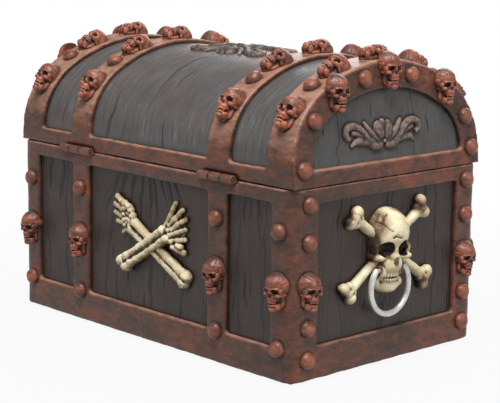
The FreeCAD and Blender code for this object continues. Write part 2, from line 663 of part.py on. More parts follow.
def scroll():
    """A leaf scroll: a centre leaf, and on each side a long arm, two leaves and a volute."""
    pieces = [crescent(SCROLL_FOOT, SCROLL_CENTRE_TIP, SCROLL_CENTRE_BULGE, -SCROLL_CENTRE_BULGE)]
    leaves = (
        (SCROLL_ARM_TIP, SCROLL_ARM_BULGES),
        (SCROLL_LOW_LEAF_TIP, SCROLL_LOW_LEAF_BULGES),
        (SCROLL_HIGH_LEAF_TIP, SCROLL_HIGH_LEAF_BULGES),
    )
    for side in (-1, 1):
        for tip, bulges in leaves:
            pieces.append(crescent(SCROLL_FOOT, (side * tip[0], tip[1]), -side * bulges[0], -side * bulges[1]))
        curl_centre = vec(side * VOLUTE_CENTRE[0], VOLUTE_CENTRE[1], 0)
        eye_centre = vec(side * VOLUTE_EYE[0], VOLUTE_EYE[1], 0)
        curl = Part.makeCylinder(VOLUTE_RADIUS, SCROLL_RELIEF, curl_centre)
        pieces.append(curl.cut(Part.makeCylinder(VOLUTE_EYE_RADIUS, SCROLL_RELIEF, eye_centre)))
    return fused(pieces)


end_scroll = scroll()
for side, x_sign in SIDES:
    z = lid_bottom + SCROLL_RISE
    origin = vec(x_sign * lid_end_x(z, BAND_THICKNESS), SCROLL_SHIFT, z)
    outward = vec(x_sign * math.cos(lean), 0, math.sin(lean))
    up = vec(-x_sign * math.sin(lean), 0, math.cos(lean))
    write("lid_scroll_%s" % side, [placed(end_scroll, origin, outward, up)])

# The crest's scroll is the same relief on a foot, cut to the barrel's curve
crest_foot = end_scroll.translated(vec(0, 0, -SCROLL_RELIEF))
crest_scroll = end_scroll.fuse(crest_foot).removeSplitter()
crest_scrolls = []
for y_sign in (-1, 1):
    origin = vec(0, y_sign * TOP_SCROLL_OFFSET, apex_z - BAND_THICKNESS)
    crest_scrolls.append(placed(crest_scroll, origin, UP, vec(0, y_sign, 0)).cut(lid_core))
write("lid_scroll_top", crest_scrolls)
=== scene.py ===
"""The looks of a small cast treasure chest: plank panels, rust-brown bands, skulls, bones and two rings."""

import math
import random

import bmesh
import bpy
import numpy as np
from mathutils import Matrix, Vector, kdtree, noise


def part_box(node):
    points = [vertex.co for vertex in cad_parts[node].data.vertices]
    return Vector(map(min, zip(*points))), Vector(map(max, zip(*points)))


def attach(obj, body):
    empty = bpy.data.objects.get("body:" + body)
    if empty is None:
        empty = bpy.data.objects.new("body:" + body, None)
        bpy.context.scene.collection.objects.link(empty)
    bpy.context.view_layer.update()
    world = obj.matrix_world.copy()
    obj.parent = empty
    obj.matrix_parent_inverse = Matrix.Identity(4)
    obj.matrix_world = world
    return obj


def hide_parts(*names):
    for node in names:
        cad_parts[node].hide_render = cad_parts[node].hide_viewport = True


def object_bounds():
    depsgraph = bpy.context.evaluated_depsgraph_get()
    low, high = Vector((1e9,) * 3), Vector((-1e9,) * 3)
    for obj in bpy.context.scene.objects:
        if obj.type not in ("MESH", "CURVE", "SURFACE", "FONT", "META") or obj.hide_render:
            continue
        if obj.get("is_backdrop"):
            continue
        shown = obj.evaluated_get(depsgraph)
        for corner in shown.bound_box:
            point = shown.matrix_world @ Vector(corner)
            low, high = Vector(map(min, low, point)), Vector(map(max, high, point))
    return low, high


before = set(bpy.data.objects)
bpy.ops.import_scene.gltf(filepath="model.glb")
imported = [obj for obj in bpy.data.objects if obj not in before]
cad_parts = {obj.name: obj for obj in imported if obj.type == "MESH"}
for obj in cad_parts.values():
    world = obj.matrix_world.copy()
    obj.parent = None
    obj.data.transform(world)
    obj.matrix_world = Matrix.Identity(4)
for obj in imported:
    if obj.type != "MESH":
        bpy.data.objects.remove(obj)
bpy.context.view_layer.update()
MM = 0.001

# Felt pad
# A sheet of thin black felt, cut a little smaller than the base and glued under its floor.
# It keeps the chest from scratching a table; only its edge shows, as a dark line.
felt_low, felt_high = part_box("base_felt_pad")
FELT_CORNER = 2.0 * MM
FELT_BORDER = 0.15 * MM
FELT_BLACK = (30, 27, 27)
FELT_GREY = (52, 48, 47)


def shade(red, green, blue):
    """A colour as the eye sees it, in the light values that a shader takes."""
    parts = [value / 255 for value in (red, green, blue)]
    return [((part + 0.055) / 1.055) ** 2.4 if part > 0.04 else part / 12.92 for part in parts] + [1.0]


def new_finish(name):
    """A material, its node board and its surface shader."""
    finish = bpy.data.materials.new(name)
    finish.use_nodes = True
    return finish, finish.node_tree, finish.node_tree.nodes["Principled BSDF"]


def plug(board, node, **sockets):
    """Set or link a node's sockets by name."""
    for name, value in sockets.items():
        socket = node.inputs[name.replace("_", " ")]
        if isinstance(value, bpy.types.NodeSocket):
            board.links.new(value, socket)
        else:
            socket.default_value = value
    return node


def put(board, kind, **sockets):
    """Add a node to a board, and set or link its sockets."""
    return plug(board, board.nodes.new("ShaderNode" + kind), **sockets)


def mottle(board, size, detail=3.0, stretch=(1.0, 1.0, 1.0), start=0.0):
    """Soft blotches of about one size, drawn out along an axis by a stretch."""
    spot = put(board, "TexCoord").outputs["Object"]
    scale = [1.0 / (size * part) for part in stretch]
    drawn = put(board, "Mapping", Vector=spot, Scale=scale, Location=[start] * 3)
    return put(board, "TexNoise", Vector=drawn.outputs[0], Scale=1.0, Detail=detail).outputs[0]


def cut(board, value, low, high, share=1.0):
    """The part of a value between two levels, as 0 to a share."""
    return put(board, "MapRange", Value=value, From_Min=low, From_Max=high, To_Max=share).outputs[0]


def spread(board, value, least, most):
    """A value from 0 to 1 as one from least to most."""
    return put(board, "MapRange", Value=value, To_Min=least, To_Max=most).outputs[0]


def coat(board, under, over, value, low, high, share=1.0):
    """One colour laid over another where a value goes from one level to the next, up to a share."""
    colours = [shade(*colour) if isinstance(colour, tuple) else colour for colour in (under, over)]
    amount = cut(board, value, low, high, share)
    return put(board, "MixRGB", Fac=amount, Color1=colours[0], Color2=colours[1]).outputs[0]


def kept(board, name):
    """A value kept for a piece's points."""
    node = put(board, "Attribute")
    node.attribute_name = name
    return node.outputs["Fac"]


def relief(board, height, depth):
    """Fine relief for a surface, too small to model."""
    return put(board, "Bump", Height=height, Distance=depth, Strength=1.0).outputs[0]


felt_finish, board, surface = new_finish("felt")
fibres = mottle(board, 0.5 * MM, 4.0)
plug(
    board, surface, Base_Color=coat(board, FELT_BLACK, FELT_GREY, fibres, 0.35, 0.7), Roughness=1.0,
    Specular_IOR_Level=0.1, Normal=relief(board, fibres, 0.15 * MM))
SMOOTH_ANGLE = math.radians(50)


def pick(piece):
    """Make one piece the selected and active one."""
    bpy.ops.object.select_all(action="DESELECT")
    piece.select_set(True)
    bpy.context.view_layer.objects.active = piece


def rework(piece, kind, **settings):
    """Add a modifier to a piece, set it and apply it."""
    modifier = piece.modifiers.new(kind.title(), kind)
    for name, value in settings.items():
        setattr(modifier, name, value)
    bpy.context.view_layer.objects.active = piece
    bpy.ops.object.modifier_apply(modifier=modifier.name)


def weather(piece, name, size, depth):
    """Press soft, uneven lumps of one size into a piece's skin."""
    lumps = bpy.data.textures.new(name, "CLOUDS")
    lumps.noise_scale = size
    lumps.noise_depth = 2
    rework(piece, "DISPLACE", texture=lumps, texture_coords="LOCAL", strength=depth, mid_level=0.5)


def fit(piece, name, body, slot, finish, *nodes):
    """Name a finished piece, paint it, and let it stand for its solids and move with its body."""
    piece.name = name
    piece.data.name = name
    piece.data.materials.clear()
    piece.data.materials.append(finish)
    pick(piece)
    bpy.ops.object.shade_smooth_by_angle(angle=SMOOTH_ANGLE)
    if nodes:
        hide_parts(*nodes)
    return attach(piece, body)


bpy.ops.mesh.primitive_cube_add(size=1.0, location=(felt_low + felt_high) / 2, scale=felt_high - felt_low)
felt = bpy.context.object
bpy.ops.object.transform_apply(location=True, rotation=True, scale=True)
bpy.ops.object.mode_set(mode="EDIT")
shape = bmesh.from_edit_mesh(felt.data)
for edge in shape.edges:
    edge.select = abs(edge.verts[0].co.z - edge.verts[1].co.z) > FELT_CORNER / 10
bpy.ops.mesh.bevel(offset=FELT_CORNER, segments=6)
bpy.ops.mesh.select_all(action="SELECT")
bpy.ops.mesh.inset(thickness=FELT_BORDER)
bpy.ops.object.mode_set(mode="OBJECT")
fit(felt, "felt_sheet", "base", "felt", felt_finish, "base_felt_pad")

# Base shell
# The floor and four walls, cast in one piece of dark painted resin. Inside they are plain;
# outside they show between the bands as panels, which are the next section.
RESIN_DARK = (48, 40, 36)
RESIN_LIGHT = (74, 62, 54)

inside_finish, board, surface = new_finish("inside_resin")
brushing = mottle(board, 3.0 * MM, 5.0, (1.0, 1.0, 4.0))
plug(
    board, surface, Base_Color=coat(board, RESIN_DARK, RESIN_LIGHT, brushing, 0.3, 0.75), Roughness=0.7,
    Normal=relief(board, brushing, 0.1 * MM))
for node in ("base_shell", "lid_shell"):
    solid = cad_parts[node].data
    solid.materials.clear()
    solid.materials.append(inside_finish)

# Plank panels of the base
# Dark brown-grey planks with long upright grain, drying cracks and open joints, cast into the
# walls and dry-brushed with a paler grey. The grain of the long panels leans in towards the top.
GRAIN_STEP = 0.26 * MM
ROW_STEP = 0.8 * MM
SKIN = 0.42 * MM
TUCK = 0.6 * MM
DEEPEST = 0.36 * MM
EDGE_SHADE_REACH = 1.3 * MM
EDGE_WASH_AND_SHADE = 0.5
GRAIN_SWAY = ((60.0 * MM, 0.7 * MM), (23.0 * MM, 0.55 * MM), (9.0 * MM, 0.32 * MM))
RIPPLE_WIDTH = 0.9 * MM
RIPPLE_LENGTH = 16.0 * MM
RIPPLE_DEPTH = 0.07 * MM
JOINT_WIDTH = 0.34 * MM
SIDE_WINDOW = {"cracks": 12, "joints": 2, "splits": 2, "fan": 0.0}
MIDDLE_WINDOW = {"cracks": 48, "joints": 3, "splits": 9, "fan": 0.5}
END_WINDOW = {"cracks": 22, "joints": 3, "splits": 3, "fan": 0.0}
PLANK_COLOURS = {
    "crack": (16, 13, 12), "dark": (41, 33, 30), "mid": (60, 49, 44), "brushed": (104, 91, 83),
    "tint": (69, 52, 44)}
UP = Vector((0.0, 0.0, 1.0))
SIDES = (("left", -1), ("right", 1))
FACES = (("front", -1), ("back", 1))


def plank_finish(name, along, gloss, crack, dark, mid, brushed, tint):
    """Paint for cast planks: stained grain along some axes, dark cracks, a paler dry brush on ridges, and
    the crack colour again as painted shade along the edges.
    """
    finish, board, surface = new_finish(name)
    grain = mottle(board, 0.55 * MM, 4.0, [18.0 if axis in along else 1.0 for axis in range(3)])
    fine = mottle(board, 0.22 * MM, 2.0, [30.0 if axis in along else 1.0 for axis in range(3)], 3.0)
    patches = mottle(board, 14.0 * MM, 3.0, start=7.0)
    stains = mottle(board, 22.0 * MM, 5.0, start=11.0)
    colour = coat(board, dark, mid, grain, 0.3, 0.72)
    colour = coat(board, colour, mid, patches, 0.35, 0.7, 0.45)
    colour = coat(board, colour, tint, stains, 0.48, 0.66, 0.55)
    colour = coat(board, colour, brushed, fine, 0.55, 0.75, cut(board, patches, 0.35, 0.75, 0.6))
    # The crack colour also goes where the plate is marked as shaded: painted shade under the bands and round
    # the pieces on it.
    colour = coat(board, colour, crack, kept(board, "groove_and_shade"), 0.12, 0.6)
    plug(
        board, surface, Base_Color=colour, Roughness=spread(board, grain, gloss - 0.08, gloss + 0.12),
        Specular_IOR_Level=0.4, Normal=relief(board, grain, 0.16 * MM))
    return finish


def grain_depth(x, y, height, seed, cracks, joints, splits, fan):
    """How deep the grain, cracks, plank joints and split ends are cut at each point of a panel."""
    chance = random.Random(seed)
    rise = np.clip(y / height + 0.5, 0.0, 1.0)
    squeeze = 1.0 - fan * rise * rise
    drawn = x / squeeze
    half = np.abs(x).max()
    wander = np.zeros_like(x)
    for wave, sway in GRAIN_SWAY:
        phase = chance.uniform(0.0, math.tau)
        wander += sway * np.sin(math.tau * (y / wave + drawn / (wave * 1.7)) + phase)
    flow = drawn + wander
    ripple = [noise.noise(Vector((u / RIPPLE_WIDTH, v / RIPPLE_LENGTH, seed))) for u, v in zip(flow, y)]
    depth = RIPPLE_DEPTH * (np.array(ripple) + 0.6).clip(0.0, 1.2)
    lines = []
    for number in range(joints):
        at = half * (2.0 * (number + chance.uniform(0.3, 0.7)) / joints - 1.0)
        lines.append((at, 0.0, 2.0 * height, JOINT_WIDTH, chance.uniform(0.6, 0.9)))
    for number in range(cracks):
        length = height * chance.uniform(0.06, 0.34)
        centre = height * chance.uniform(-0.5, 0.5)
        at = half * chance.uniform(-1.1, 1.1)
        lines.append((at, centre, length, chance.uniform(0.35, 0.8) * MM, chance.uniform(0.45, 1.0)))
    for number in range(splits):
        at = half * (2.0 * (number + chance.uniform(0.2, 0.8)) / splits - 1.0)
        length = height * chance.uniform(0.3, 0.75)
        lines.append((at, height / 2, length, chance.uniform(0.9, 1.6) * MM, 1.0))
    for at, centre, length, width, strength in lines:
        near = np.clip(1.0 - np.abs(flow - at) * squeeze / width, 0.0, 1.0)
        ends = np.clip(1.0 - (2.0 * (y - centre) / length) ** 2, 0.0, 1.0)
        depth = np.maximum(depth, DEEPEST * strength * near * np.sqrt(ends))
    return depth


def points_of(piece):
    """A piece's points as an array."""
    flat = np.empty(len(piece.data.vertices) * 3, np.float32)
    piece.data.vertices.foreach_get("co", flat)
    return flat.reshape(-1, 3).astype(float)


def facing_of(piece):
    """Which way a piece's skin faces at each point, as an array."""
    flat = np.empty(len(piece.data.vertices) * 3, np.float32)
    piece.data.vertex_normals.foreach_get("vector", flat)
    return flat.reshape(-1, 3)


def move_points(piece, points):
    """Put a piece's points where an array says."""
    piece.data.vertices.foreach_set("co", points.astype(np.float32).ravel())
    piece.data.update()


def mark(piece, name, values):
    """Keep a value for each point, for the paint to read."""
    layer = piece.data.attributes.get(name) or piece.data.attributes.new(name, "FLOAT", "POINT")
    layer.data.foreach_set("value", np.asarray(values, np.float32))


def marked(piece, name):
    """The values kept for a piece's points."""
    values = np.empty(len(piece.data.vertices), np.float32)
    piece.data.attributes[name].data.foreach_get("value", values)
    return values


def nearness(piece, others, reach):
    """How near each point of a piece is to other pieces: 1 where they touch, 0 at the reach and beyond."""
    points = np.concatenate([points_of(other) for other in others])
    tree = kdtree.KDTree(len(points))
    for number, point in enumerate(points):
        tree.insert(point, number)
    tree.balance()
    gone = np.array([tree.find(vert.co)[2] for vert in piece.data.vertices])
    return np.clip(1.0 - gone / reach, 0.0, 1.0)


def carved_plate(width, height, step, row, seed, **grain):
    """A flat plate with grain cut into its face, drawn with x across, y along and z outward."""
    bpy.ops.mesh.primitive_grid_add(
        x_subdivisions=round(width / step), y_subdivisions=round(height / row), size=1.0)
    plate = bpy.context.object
    bpy.ops.transform.resize(value=(width, height, 1.0))
    bpy.ops.object.transform_apply(location=True, rotation=True, scale=True)
    points = points_of(plate)
    depth = grain_depth(points[:, 0], points[:, 1], height, seed, **grain)
    points[:, 2] = SKIN - depth
    move_points(plate, points)
    # Darken the plate towards its rim, under the edges of the bands: a dark wash and a painted shade.
    rim = np.minimum(width / 2 - np.abs(points[:, 0]), height / 2 - np.abs(points[:, 1])) - TUCK
    wash_and_shade = EDGE_WASH_AND_SHADE * np.clip(1.0 - rim / EDGE_SHADE_REACH, 0.0, 1.0)
    mark(plate, "groove_and_shade", np.maximum(depth / DEEPEST, wash_and_shade))
    return plate


def close_back(plate, drop):
    """Turn a plate's rim back and close it behind with one flat face."""
    bpy.context.view_layer.objects.active = plate
    bpy.ops.object.mode_set(mode="EDIT")
    bpy.ops.mesh.select_mode(type="EDGE")
    bpy.ops.mesh.select_all(action="DESELECT")
    bpy.ops.mesh.select_non_manifold()
    bpy.ops.mesh.extrude_edges_move(TRANSFORM_OT_translate={"value": (0.0, 0.0, -drop)})
    bpy.ops.mesh.edge_face_add()
    bpy.ops.mesh.select_all(action="SELECT")
    bpy.ops.mesh.normals_make_consistent(inside=False)
    bpy.ops.object.mode_set(mode="OBJECT")


def stand(origin, outward, up=UP):
    """Where a piece drawn with x right, y up and z outward goes on the chest."""
    outward = Vector(outward).normalized()
    up = Vector(up).normalized()
    place = Matrix((up.cross(outward), up, outward)).transposed().to_4x4()
    place.translation = origin
    return place


plank_paint = plank_finish("dark_planks", (2,), 0.42, **PLANK_COLOURS)
window_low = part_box("base_bottom_band")[1].z - TUCK
window_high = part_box("base_top_band")[0].z + TUCK
window_height = window_high - window_low
window_z = (window_low + window_high) / 2
shell_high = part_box("base_shell")[1]
for face, y_sign in FACES:
    edges = [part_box("corner_post_%s_left" % face)[1].x]
    for side in ("left", "right"):
        edges += [corner.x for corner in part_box("strap_%s_%s" % (face, side))]
    edges.append(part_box("corner_post_%s_right" % face)[0].x)
    for number, window in enumerate(("left", "middle", "right")):
        low, high = edges[2 * number] - TUCK, edges[2 * number + 1] + TUCK
        grain = MIDDLE_WINDOW if window == "middle" else SIDE_WINDOW
        seed = 11 + number + 5 * y_sign
        plate = carved_plate(high - low, window_height, GRAIN_STEP, ROW_STEP, seed, **grain)
        close_back(plate, SKIN)
        plate.data.transform(stand(((low + high) / 2, y_sign * shell_high.y, window_z), (0, y_sign, 0)))
        fit(plate, "plank_panel_%s_%s" % (face, window), "base", "dark_planks", plank_paint)
for side, x_sign in SIDES:
    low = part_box("corner_post_front_%s" % side)[1].y - TUCK
    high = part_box("corner_post_back_%s" % side)[0].y + TUCK
    plate = carved_plate(high - low, window_height, GRAIN_STEP, ROW_STEP, 31 + x_sign, **END_WINDOW)
    close_back(plate, SKIN)
    plate.data.transform(stand((x_sign * shell_high.x, (low + high) / 2, window_z), (x_sign, 0, 0)))
    fit(plate, "plank_panel_%s" % side, "base", "dark_planks", plank_paint)

# Bands, posts and straps of the base
# Flat hoops and straps cast in one skin to look like rusted iron: soft edges, no joints, dark
# grey-brown metal with rust brushed over it, a little brighter where the edges are rubbed.
# Faces that look up are painted paler, with dust and a painted light from above.
CAST_GRAIN = 0.5 * MM
BEATEN_SIZE = 6.0 * MM
BEATEN_DEPTH = 0.34 * MM
PITTED_SIZE = 1.2 * MM
PITTED_DEPTH = 0.14 * MM
RUST_SMEAR = (2.2, 2.2, 1.0)
BAND_COLOURS = {
    "grey": (58, 46, 40), "brown": (80, 55, 45), "rust": (120, 69, 49), "edge": (154, 82, 54),
    "hollow": (32, 24, 21), "dust_and_top_light": (160, 119, 99)}
CAST_SOFTNESS = 7
CAST_WEAR = ((14, 0.3 * MM), (60, 2.4 * MM))
SAW_CLEAR = 0.3 * MM
DUST_AND_TOP_LIGHT_SLOPE = 0.1
DUST_AND_TOP_LIGHT_SOFT = 0.35


def melt_skin(piece, grain, rounds):
    """Give a piece one even skin and soften its edges."""
    rework(piece, "REMESH", mode="VOXEL", voxel_size=grain, adaptivity=0.0)
    if rounds:
        rework(piece, "SMOOTH", factor=0.5, iterations=rounds)


def mark_wear(piece, *scales):
    """Mark where the skin stands out (towards 1) or lies back (towards 0), at one or more scales."""
    count = len(piece.data.vertices)
    points = points_of(piece)
    ends = np.empty(len(piece.data.edges) * 2, np.int32)
    piece.data.edges.foreach_get("vertices", ends)
    first, second = ends.reshape(-1, 2).T
    near = np.maximum(np.bincount(first, minlength=count) + np.bincount(second, minlength=count), 1)
    soft = points.copy()
    wear_and_shade = np.full(count, 0.5)
    done = 0
    for rounds, reach in scales:
        for step in range(rounds - done):
            sums = []
            for axis in range(3):
                forward = np.bincount(first, soft[second, axis], count)
                sums.append(forward + np.bincount(second, soft[first, axis], count))
            soft = np.stack(sums, axis=1) / near[:, None]
        done = rounds
        wear_and_shade += ((points - soft) * facing_of(piece)).sum(axis=1) / (2.0 * reach)
    mark(piece, "wear_and_shade", np.clip(wear_and_shade, 0.0, 1.0))


def edit(piece, tool, **settings):
    """Use a mesh tool on all of a piece."""
    pick(piece)
    bpy.ops.object.mode_set(mode="EDIT")
    bpy.ops.mesh.select_all(action="SELECT")
    tool(**settings)
    bpy.ops.object.mode_set(mode="OBJECT")


def new_piece(name, data):
    """An object in the scene made from its data."""
    piece = bpy.data.objects.new(name, data)
    bpy.context.collection.objects.link(piece)
    return piece


def copy_of(node):
    """A copy of a solid as one closed mesh, to be worked on."""
    piece = new_piece(node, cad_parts[node].data.copy())
    edit(piece, bpy.ops.mesh.remove_doubles, threshold=MM / 1000)
    return piece


def joined(pieces):
    """Several pieces as one."""
    if len(pieces) == 1:
        return pieces[0]
    bpy.ops.object.select_all(action="DESELECT")
    for piece in pieces:
        piece.select_set(True)
    bpy.context.view_layer.objects.active = pieces[0]
    bpy.ops.object.transform_apply(location=True, rotation=True, scale=True)
    bpy.ops.object.join()
    return bpy.context.object


def saw_off(piece, z, side=1):
    """Cut a piece off flat at a height and keep what lies above it, or below it if the side is -1."""
    edit(
        piece, bpy.ops.mesh.bisect, plane_co=(0, 0, z), plane_no=(0, 0, side), clear_inner=True,
        use_fill=True)


def rust_finish(name, gloss, grey, brown, rust, edge, hollow, dust_and_top_light):
    """Paint for rusted cast iron: bright on rubbed edges, dark in hollows as washed paint and a painted
    shade, and a marked colour where dust and a painted light from above are marked.
    """
    finish, board, surface = new_finish(name)
    large = mottle(board, 8.0 * MM, 4.0, RUST_SMEAR)
    middle = mottle(board, 2.4 * MM, 5.0, RUST_SMEAR, 4.0)
    fine = mottle(board, 0.9 * MM, 3.0, RUST_SMEAR, 9.0)
    flecks = mottle(board, 1.4 * MM, 4.0, RUST_SMEAR, 15.0)
    broad = mottle(board, 30.0 * MM, 3.0, start=2.0)
    level = kept(board, "wear_and_shade")
    colour = coat(board, grey, brown, large, 0.35, 0.65)
    colour = coat(board, colour, rust, middle, 0.4, 0.66, cut(board, large, 0.25, 0.6, 0.7))
    colour = coat(board, colour, edge, broad, 0.45, 0.62, cut(board, middle, 0.3, 0.6, 0.35))
    colour = coat(board, colour, hollow, fine, 0.5, 0.7, 0.42)
    colour = coat(board, colour, edge, flecks, 0.54, 0.7, 0.28)
    colour = coat(board, colour, edge, level, 0.58, 0.85, cut(board, middle, 0.36, 0.55, 0.7))
    # The marked colour goes where the marks say: dust, and on the bands a painted light on the faces that
    # look up.
    colour = coat(board, colour, dust_and_top_light, middle, 0.1, 0.6, kept(board, "stain_and_painted_light"))
    # The hollow colour goes where the skin lies back or has been darkened round other pieces: a wash, and a
    # painted shade.
    colour = coat(board, colour, hollow, level, 0.47, 0.2)
    plug(
        board, surface, Base_Color=colour, Roughness=spread(board, middle, gloss - 0.1, gloss + 0.15),
        Specular_IOR_Level=0.4, Normal=relief(board, fine, 0.14 * MM))
    return finish


band_paint = rust_finish("rust_band", 0.37, **BAND_COLOURS)


def cast_bands(body, nodes, cuts):
    """Bands cast in one skin, then sawn apart at some heights, so each band is a piece of its own."""
    skin = joined([copy_of(node) for node in nodes])
    melt_skin(skin, CAST_GRAIN, CAST_SOFTNESS)
    weather(skin, "beaten", BEATEN_SIZE, BEATEN_DEPTH)
    weather(skin, "pitted", PITTED_SIZE, PITTED_DEPTH)
    mark_wear(skin, *CAST_WEAR)
    # Faces that look up are marked for the pale colour: dust, and a painted light from above.
    mark(skin, "stain_and_painted_light", np.clip((facing_of(skin)[:, 2] - DUST_AND_TOP_LIGHT_SLOPE) / DUST_AND_TOP_LIGHT_SOFT, 0.0, 1.0))
    centres = {node: sum(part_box(node), Vector()) / 2 for node in nodes}
    levels = [None] + list(cuts) + [None]
    parts = {node: [] for node in nodes}
    for low, high in zip(levels, levels[1:]):
        zone = new_piece("zone", skin.data.copy())
        if low is not None:
            saw_off(zone, low)
        if high is not None:
            saw_off(zone, high, -1)
        edit(zone, bpy.ops.mesh.separate, type="LOOSE")
        for band in list(bpy.context.selected_objects):
            points = points_of(band)
            middle = Vector((points.min(axis=0) + points.max(axis=0)) / 2)
            parts[min(centres, key=lambda name: (centres[name] - middle).length)].append(band)
    for node, pieces in parts.items():
        fit(joined(pieces), node + "_cast", body, "rust_band", band_paint, node)
    bpy.data.objects.remove(skin)


base_bands = ["base_bottom_band", "base_top_band"]
for face, y_sign in FACES:
    for side, x_sign in SIDES:
        base_bands += ["corner_post_%s_%s" % (face, side), "strap_%s_%s" % (face, side)]
band_edges = (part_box("base_bottom_band")[1].z + SAW_CLEAR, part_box("base_top_band")[0].z - SAW_CLEAR)
cast_bands("base", base_bands, band_edges)

# Studs of the base
# Dome-headed studs, cast with the bands they seem to hold and painted a redder rust.
# One is modelled, then set out on the posts and straps.
STUD_RADIUS = 3.0 * MM
STUD_HEIGHT = 2.2 * MM
STUD_SUNK = 1.2 * MM
SIDE_STUD_HEIGHTS = (12.0 * MM, 51.3 * MM)
END_STUD_HEIGHTS = (8.0 * MM, 19.0 * MM, 47.6 * MM, 60.3 * MM)
POST_X = 68.5 * MM
STRAP_X = 38.0 * MM
END_POST_Y = 40.0 * MM
STUD_DENTS = (2.0 * MM, 0.35 * MM)
STUD_FOOT_LEVEL = 0.36
STUD_TOP_RISE = 0.3
ORNAMENT_COLOURS = {
    "grey": (84, 59, 51), "brown": (110, 63, 48), "rust": (142, 78, 57), "edge": (186, 109, 80),
    "hollow": (30, 17, 14), "dust_and_top_light": (84, 59, 51)}
ornament_paint = rust_finish("rust_ornament", 0.33, **ORNAMENT_COLOURS)

bpy.ops.mesh.primitive_uv_sphere_add(segments=28, ring_count=16, radius=STUD_RADIUS)
stud_pattern = bpy.context.object
bpy.ops.object.mode_set(mode="EDIT")
bpy.ops.mesh.select_all(action="SELECT")
bpy.ops.mesh.bisect(plane_co=(0, 0, 0), plane_no=(0, 0, 1), clear_inner=True)
bpy.ops.mesh.select_all(action="SELECT")
bpy.ops.transform.resize(value=(1.0, 1.0, STUD_HEIGHT / STUD_RADIUS))
bpy.ops.mesh.select_mode(type="EDGE")
bpy.ops.mesh.select_all(action="DESELECT")
bpy.ops.mesh.select_non_manifold()
bpy.ops.mesh.extrude_edges_move(TRANSFORM_OT_translate={"value": (0.0, 0.0, -STUD_SUNK)})
bpy.ops.mesh.edge_face_add()
bpy.ops.object.mode_set(mode="OBJECT")
# Each stud is marked dark at its foot, a wash and painted shade where it meets the band, and paler up to its
# top.
stud_heights = points_of(stud_pattern)[:, 2]
mark(stud_pattern, "wear_and_shade", STUD_FOOT_LEVEL + STUD_TOP_RISE * stud_heights / STUD_HEIGHT)


def set_out(pattern, places):
    """Copies of a modelled piece at each of its places, joined as one."""
    bpy.ops.object.select_all(action="DESELECT")
    for place in places:
        copy = new_piece(pattern.name, pattern.data.copy())
        copy.data.transform(place)
        copy.select_set(True)
        bpy.context.view_layer.objects.active = copy
    bpy.ops.object.join()
    return bpy.context.object


def base_places(face, heights):
    """Places at some heights on the posts and straps of one face of the base."""
    if face in dict(FACES):
        y_sign = dict(FACES)[face]
        spots = [(x, y_sign * band_high.y) for x in (-POST_X, -STRAP_X, STRAP_X, POST_X)]
        outward = (0, y_sign, 0)
    else:
        x_sign = dict(SIDES)[face]
        spots = [(x_sign * band_high.x, y) for y in (-END_POST_Y, END_POST_Y)]
        outward = (x_sign, 0, 0)
    return [stand((*spot, z), outward) for spot in spots for z in heights]


band_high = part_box("base_bottom_band")[1]
stud_places = []
for face, y_sign in FACES:
    stud_places += base_places(face, SIDE_STUD_HEIGHTS)
for side, x_sign in SIDES:
    stud_places += base_places(side, END_STUD_HEIGHTS)
studs = set_out(stud_pattern, stud_places)
weather(studs, "stud_dents", *STUD_DENTS)
fit(studs, "studs_on_base", "base", "rust_ornament", ornament_paint, "base_studs")

# Small skulls of the base
# Little skulls cast on the posts and straps: round brow, deep eyes and temples, cheekbones, a snub
# nose and a long jaw with two rows of teeth. One is modelled from rough lumps and then set out.
SKULL_GRAIN = 0.14 * MM
SKULL_SHARE = 0.22
SKULL_Z = 31.65 * MM
SKULL_BACK = 2.3 * MM
SKULL_CREST = 4.4
SKULL_CRACK = (0.24, 0.19, 0.0)
SKULL_WEAR = (40, 0.2 * MM)
SKULL_DENTS = (1.6 * MM, 0.3 * MM)
BAND_WASH_AND_SHADE = 0.34
BAND_SHADE_REACH = 1.1 * MM


def ball(centre, radii, turn=(0.0, 0.0, 0.0)):
    """A rough lump, in millimetres, turned by degrees."""
    bpy.ops.mesh.primitive_uv_sphere_add(
        segments=24, ring_count=14, radius=MM, location=Vector(centre) * MM,
        rotation=[math.radians(angle) for angle in turn], scale=radii)
    return bpy.context.object


def twins(centre, radii, turn=(0.0, 0.0, 0.0)):
    """A rough lump on each side of the middle."""
    x, y, z = centre
    return [ball((side * x, y, z), radii, (turn[0], side * turn[1], side * turn[2])) for side in (-1, 1)]


def clay(middle, pairs):
    """Rough lumps on the middle line, and others in pairs beside it."""
    lumps = [ball(*lump) for lump in middle]
    for pair in pairs:
        lumps += twins(*pair)
    return lumps


def teeth(count, spread_angle, width, y, z, deep, radii):
    """A row of teeth round the front of a jaw."""
    row = []
    for number in range(count):
        angle = spread_angle * (2.0 * number / (count - 1) - 1.0)
        bend = math.radians(angle)
        row.append(ball((width * math.sin(bend), y, z + deep * math.cos(bend)), radii, (0.0, angle, 0.0)))
    return row


def melt(lumps, grain, rounds):
    """Join rough lumps, as clay is pressed together, into one skin."""
    body = joined(lumps)
    melt_skin(body, grain, rounds)
    return body


def scoop(body, lumps, grain, rounds):
    """Take hollows of those shapes out of a piece and soften their rims."""
    hollows = melt(lumps, grain, 0)
    rework(body, "BOOLEAN", operation="DIFFERENCE", object=hollows, solver="MANIFOLD")
    bpy.data.objects.remove(hollows)
    melt_skin(body, grain, rounds)


def thin_out(piece, share):
    """Keep the shape with fewer faces."""
    rework(piece, "DECIMATE", ratio=share)


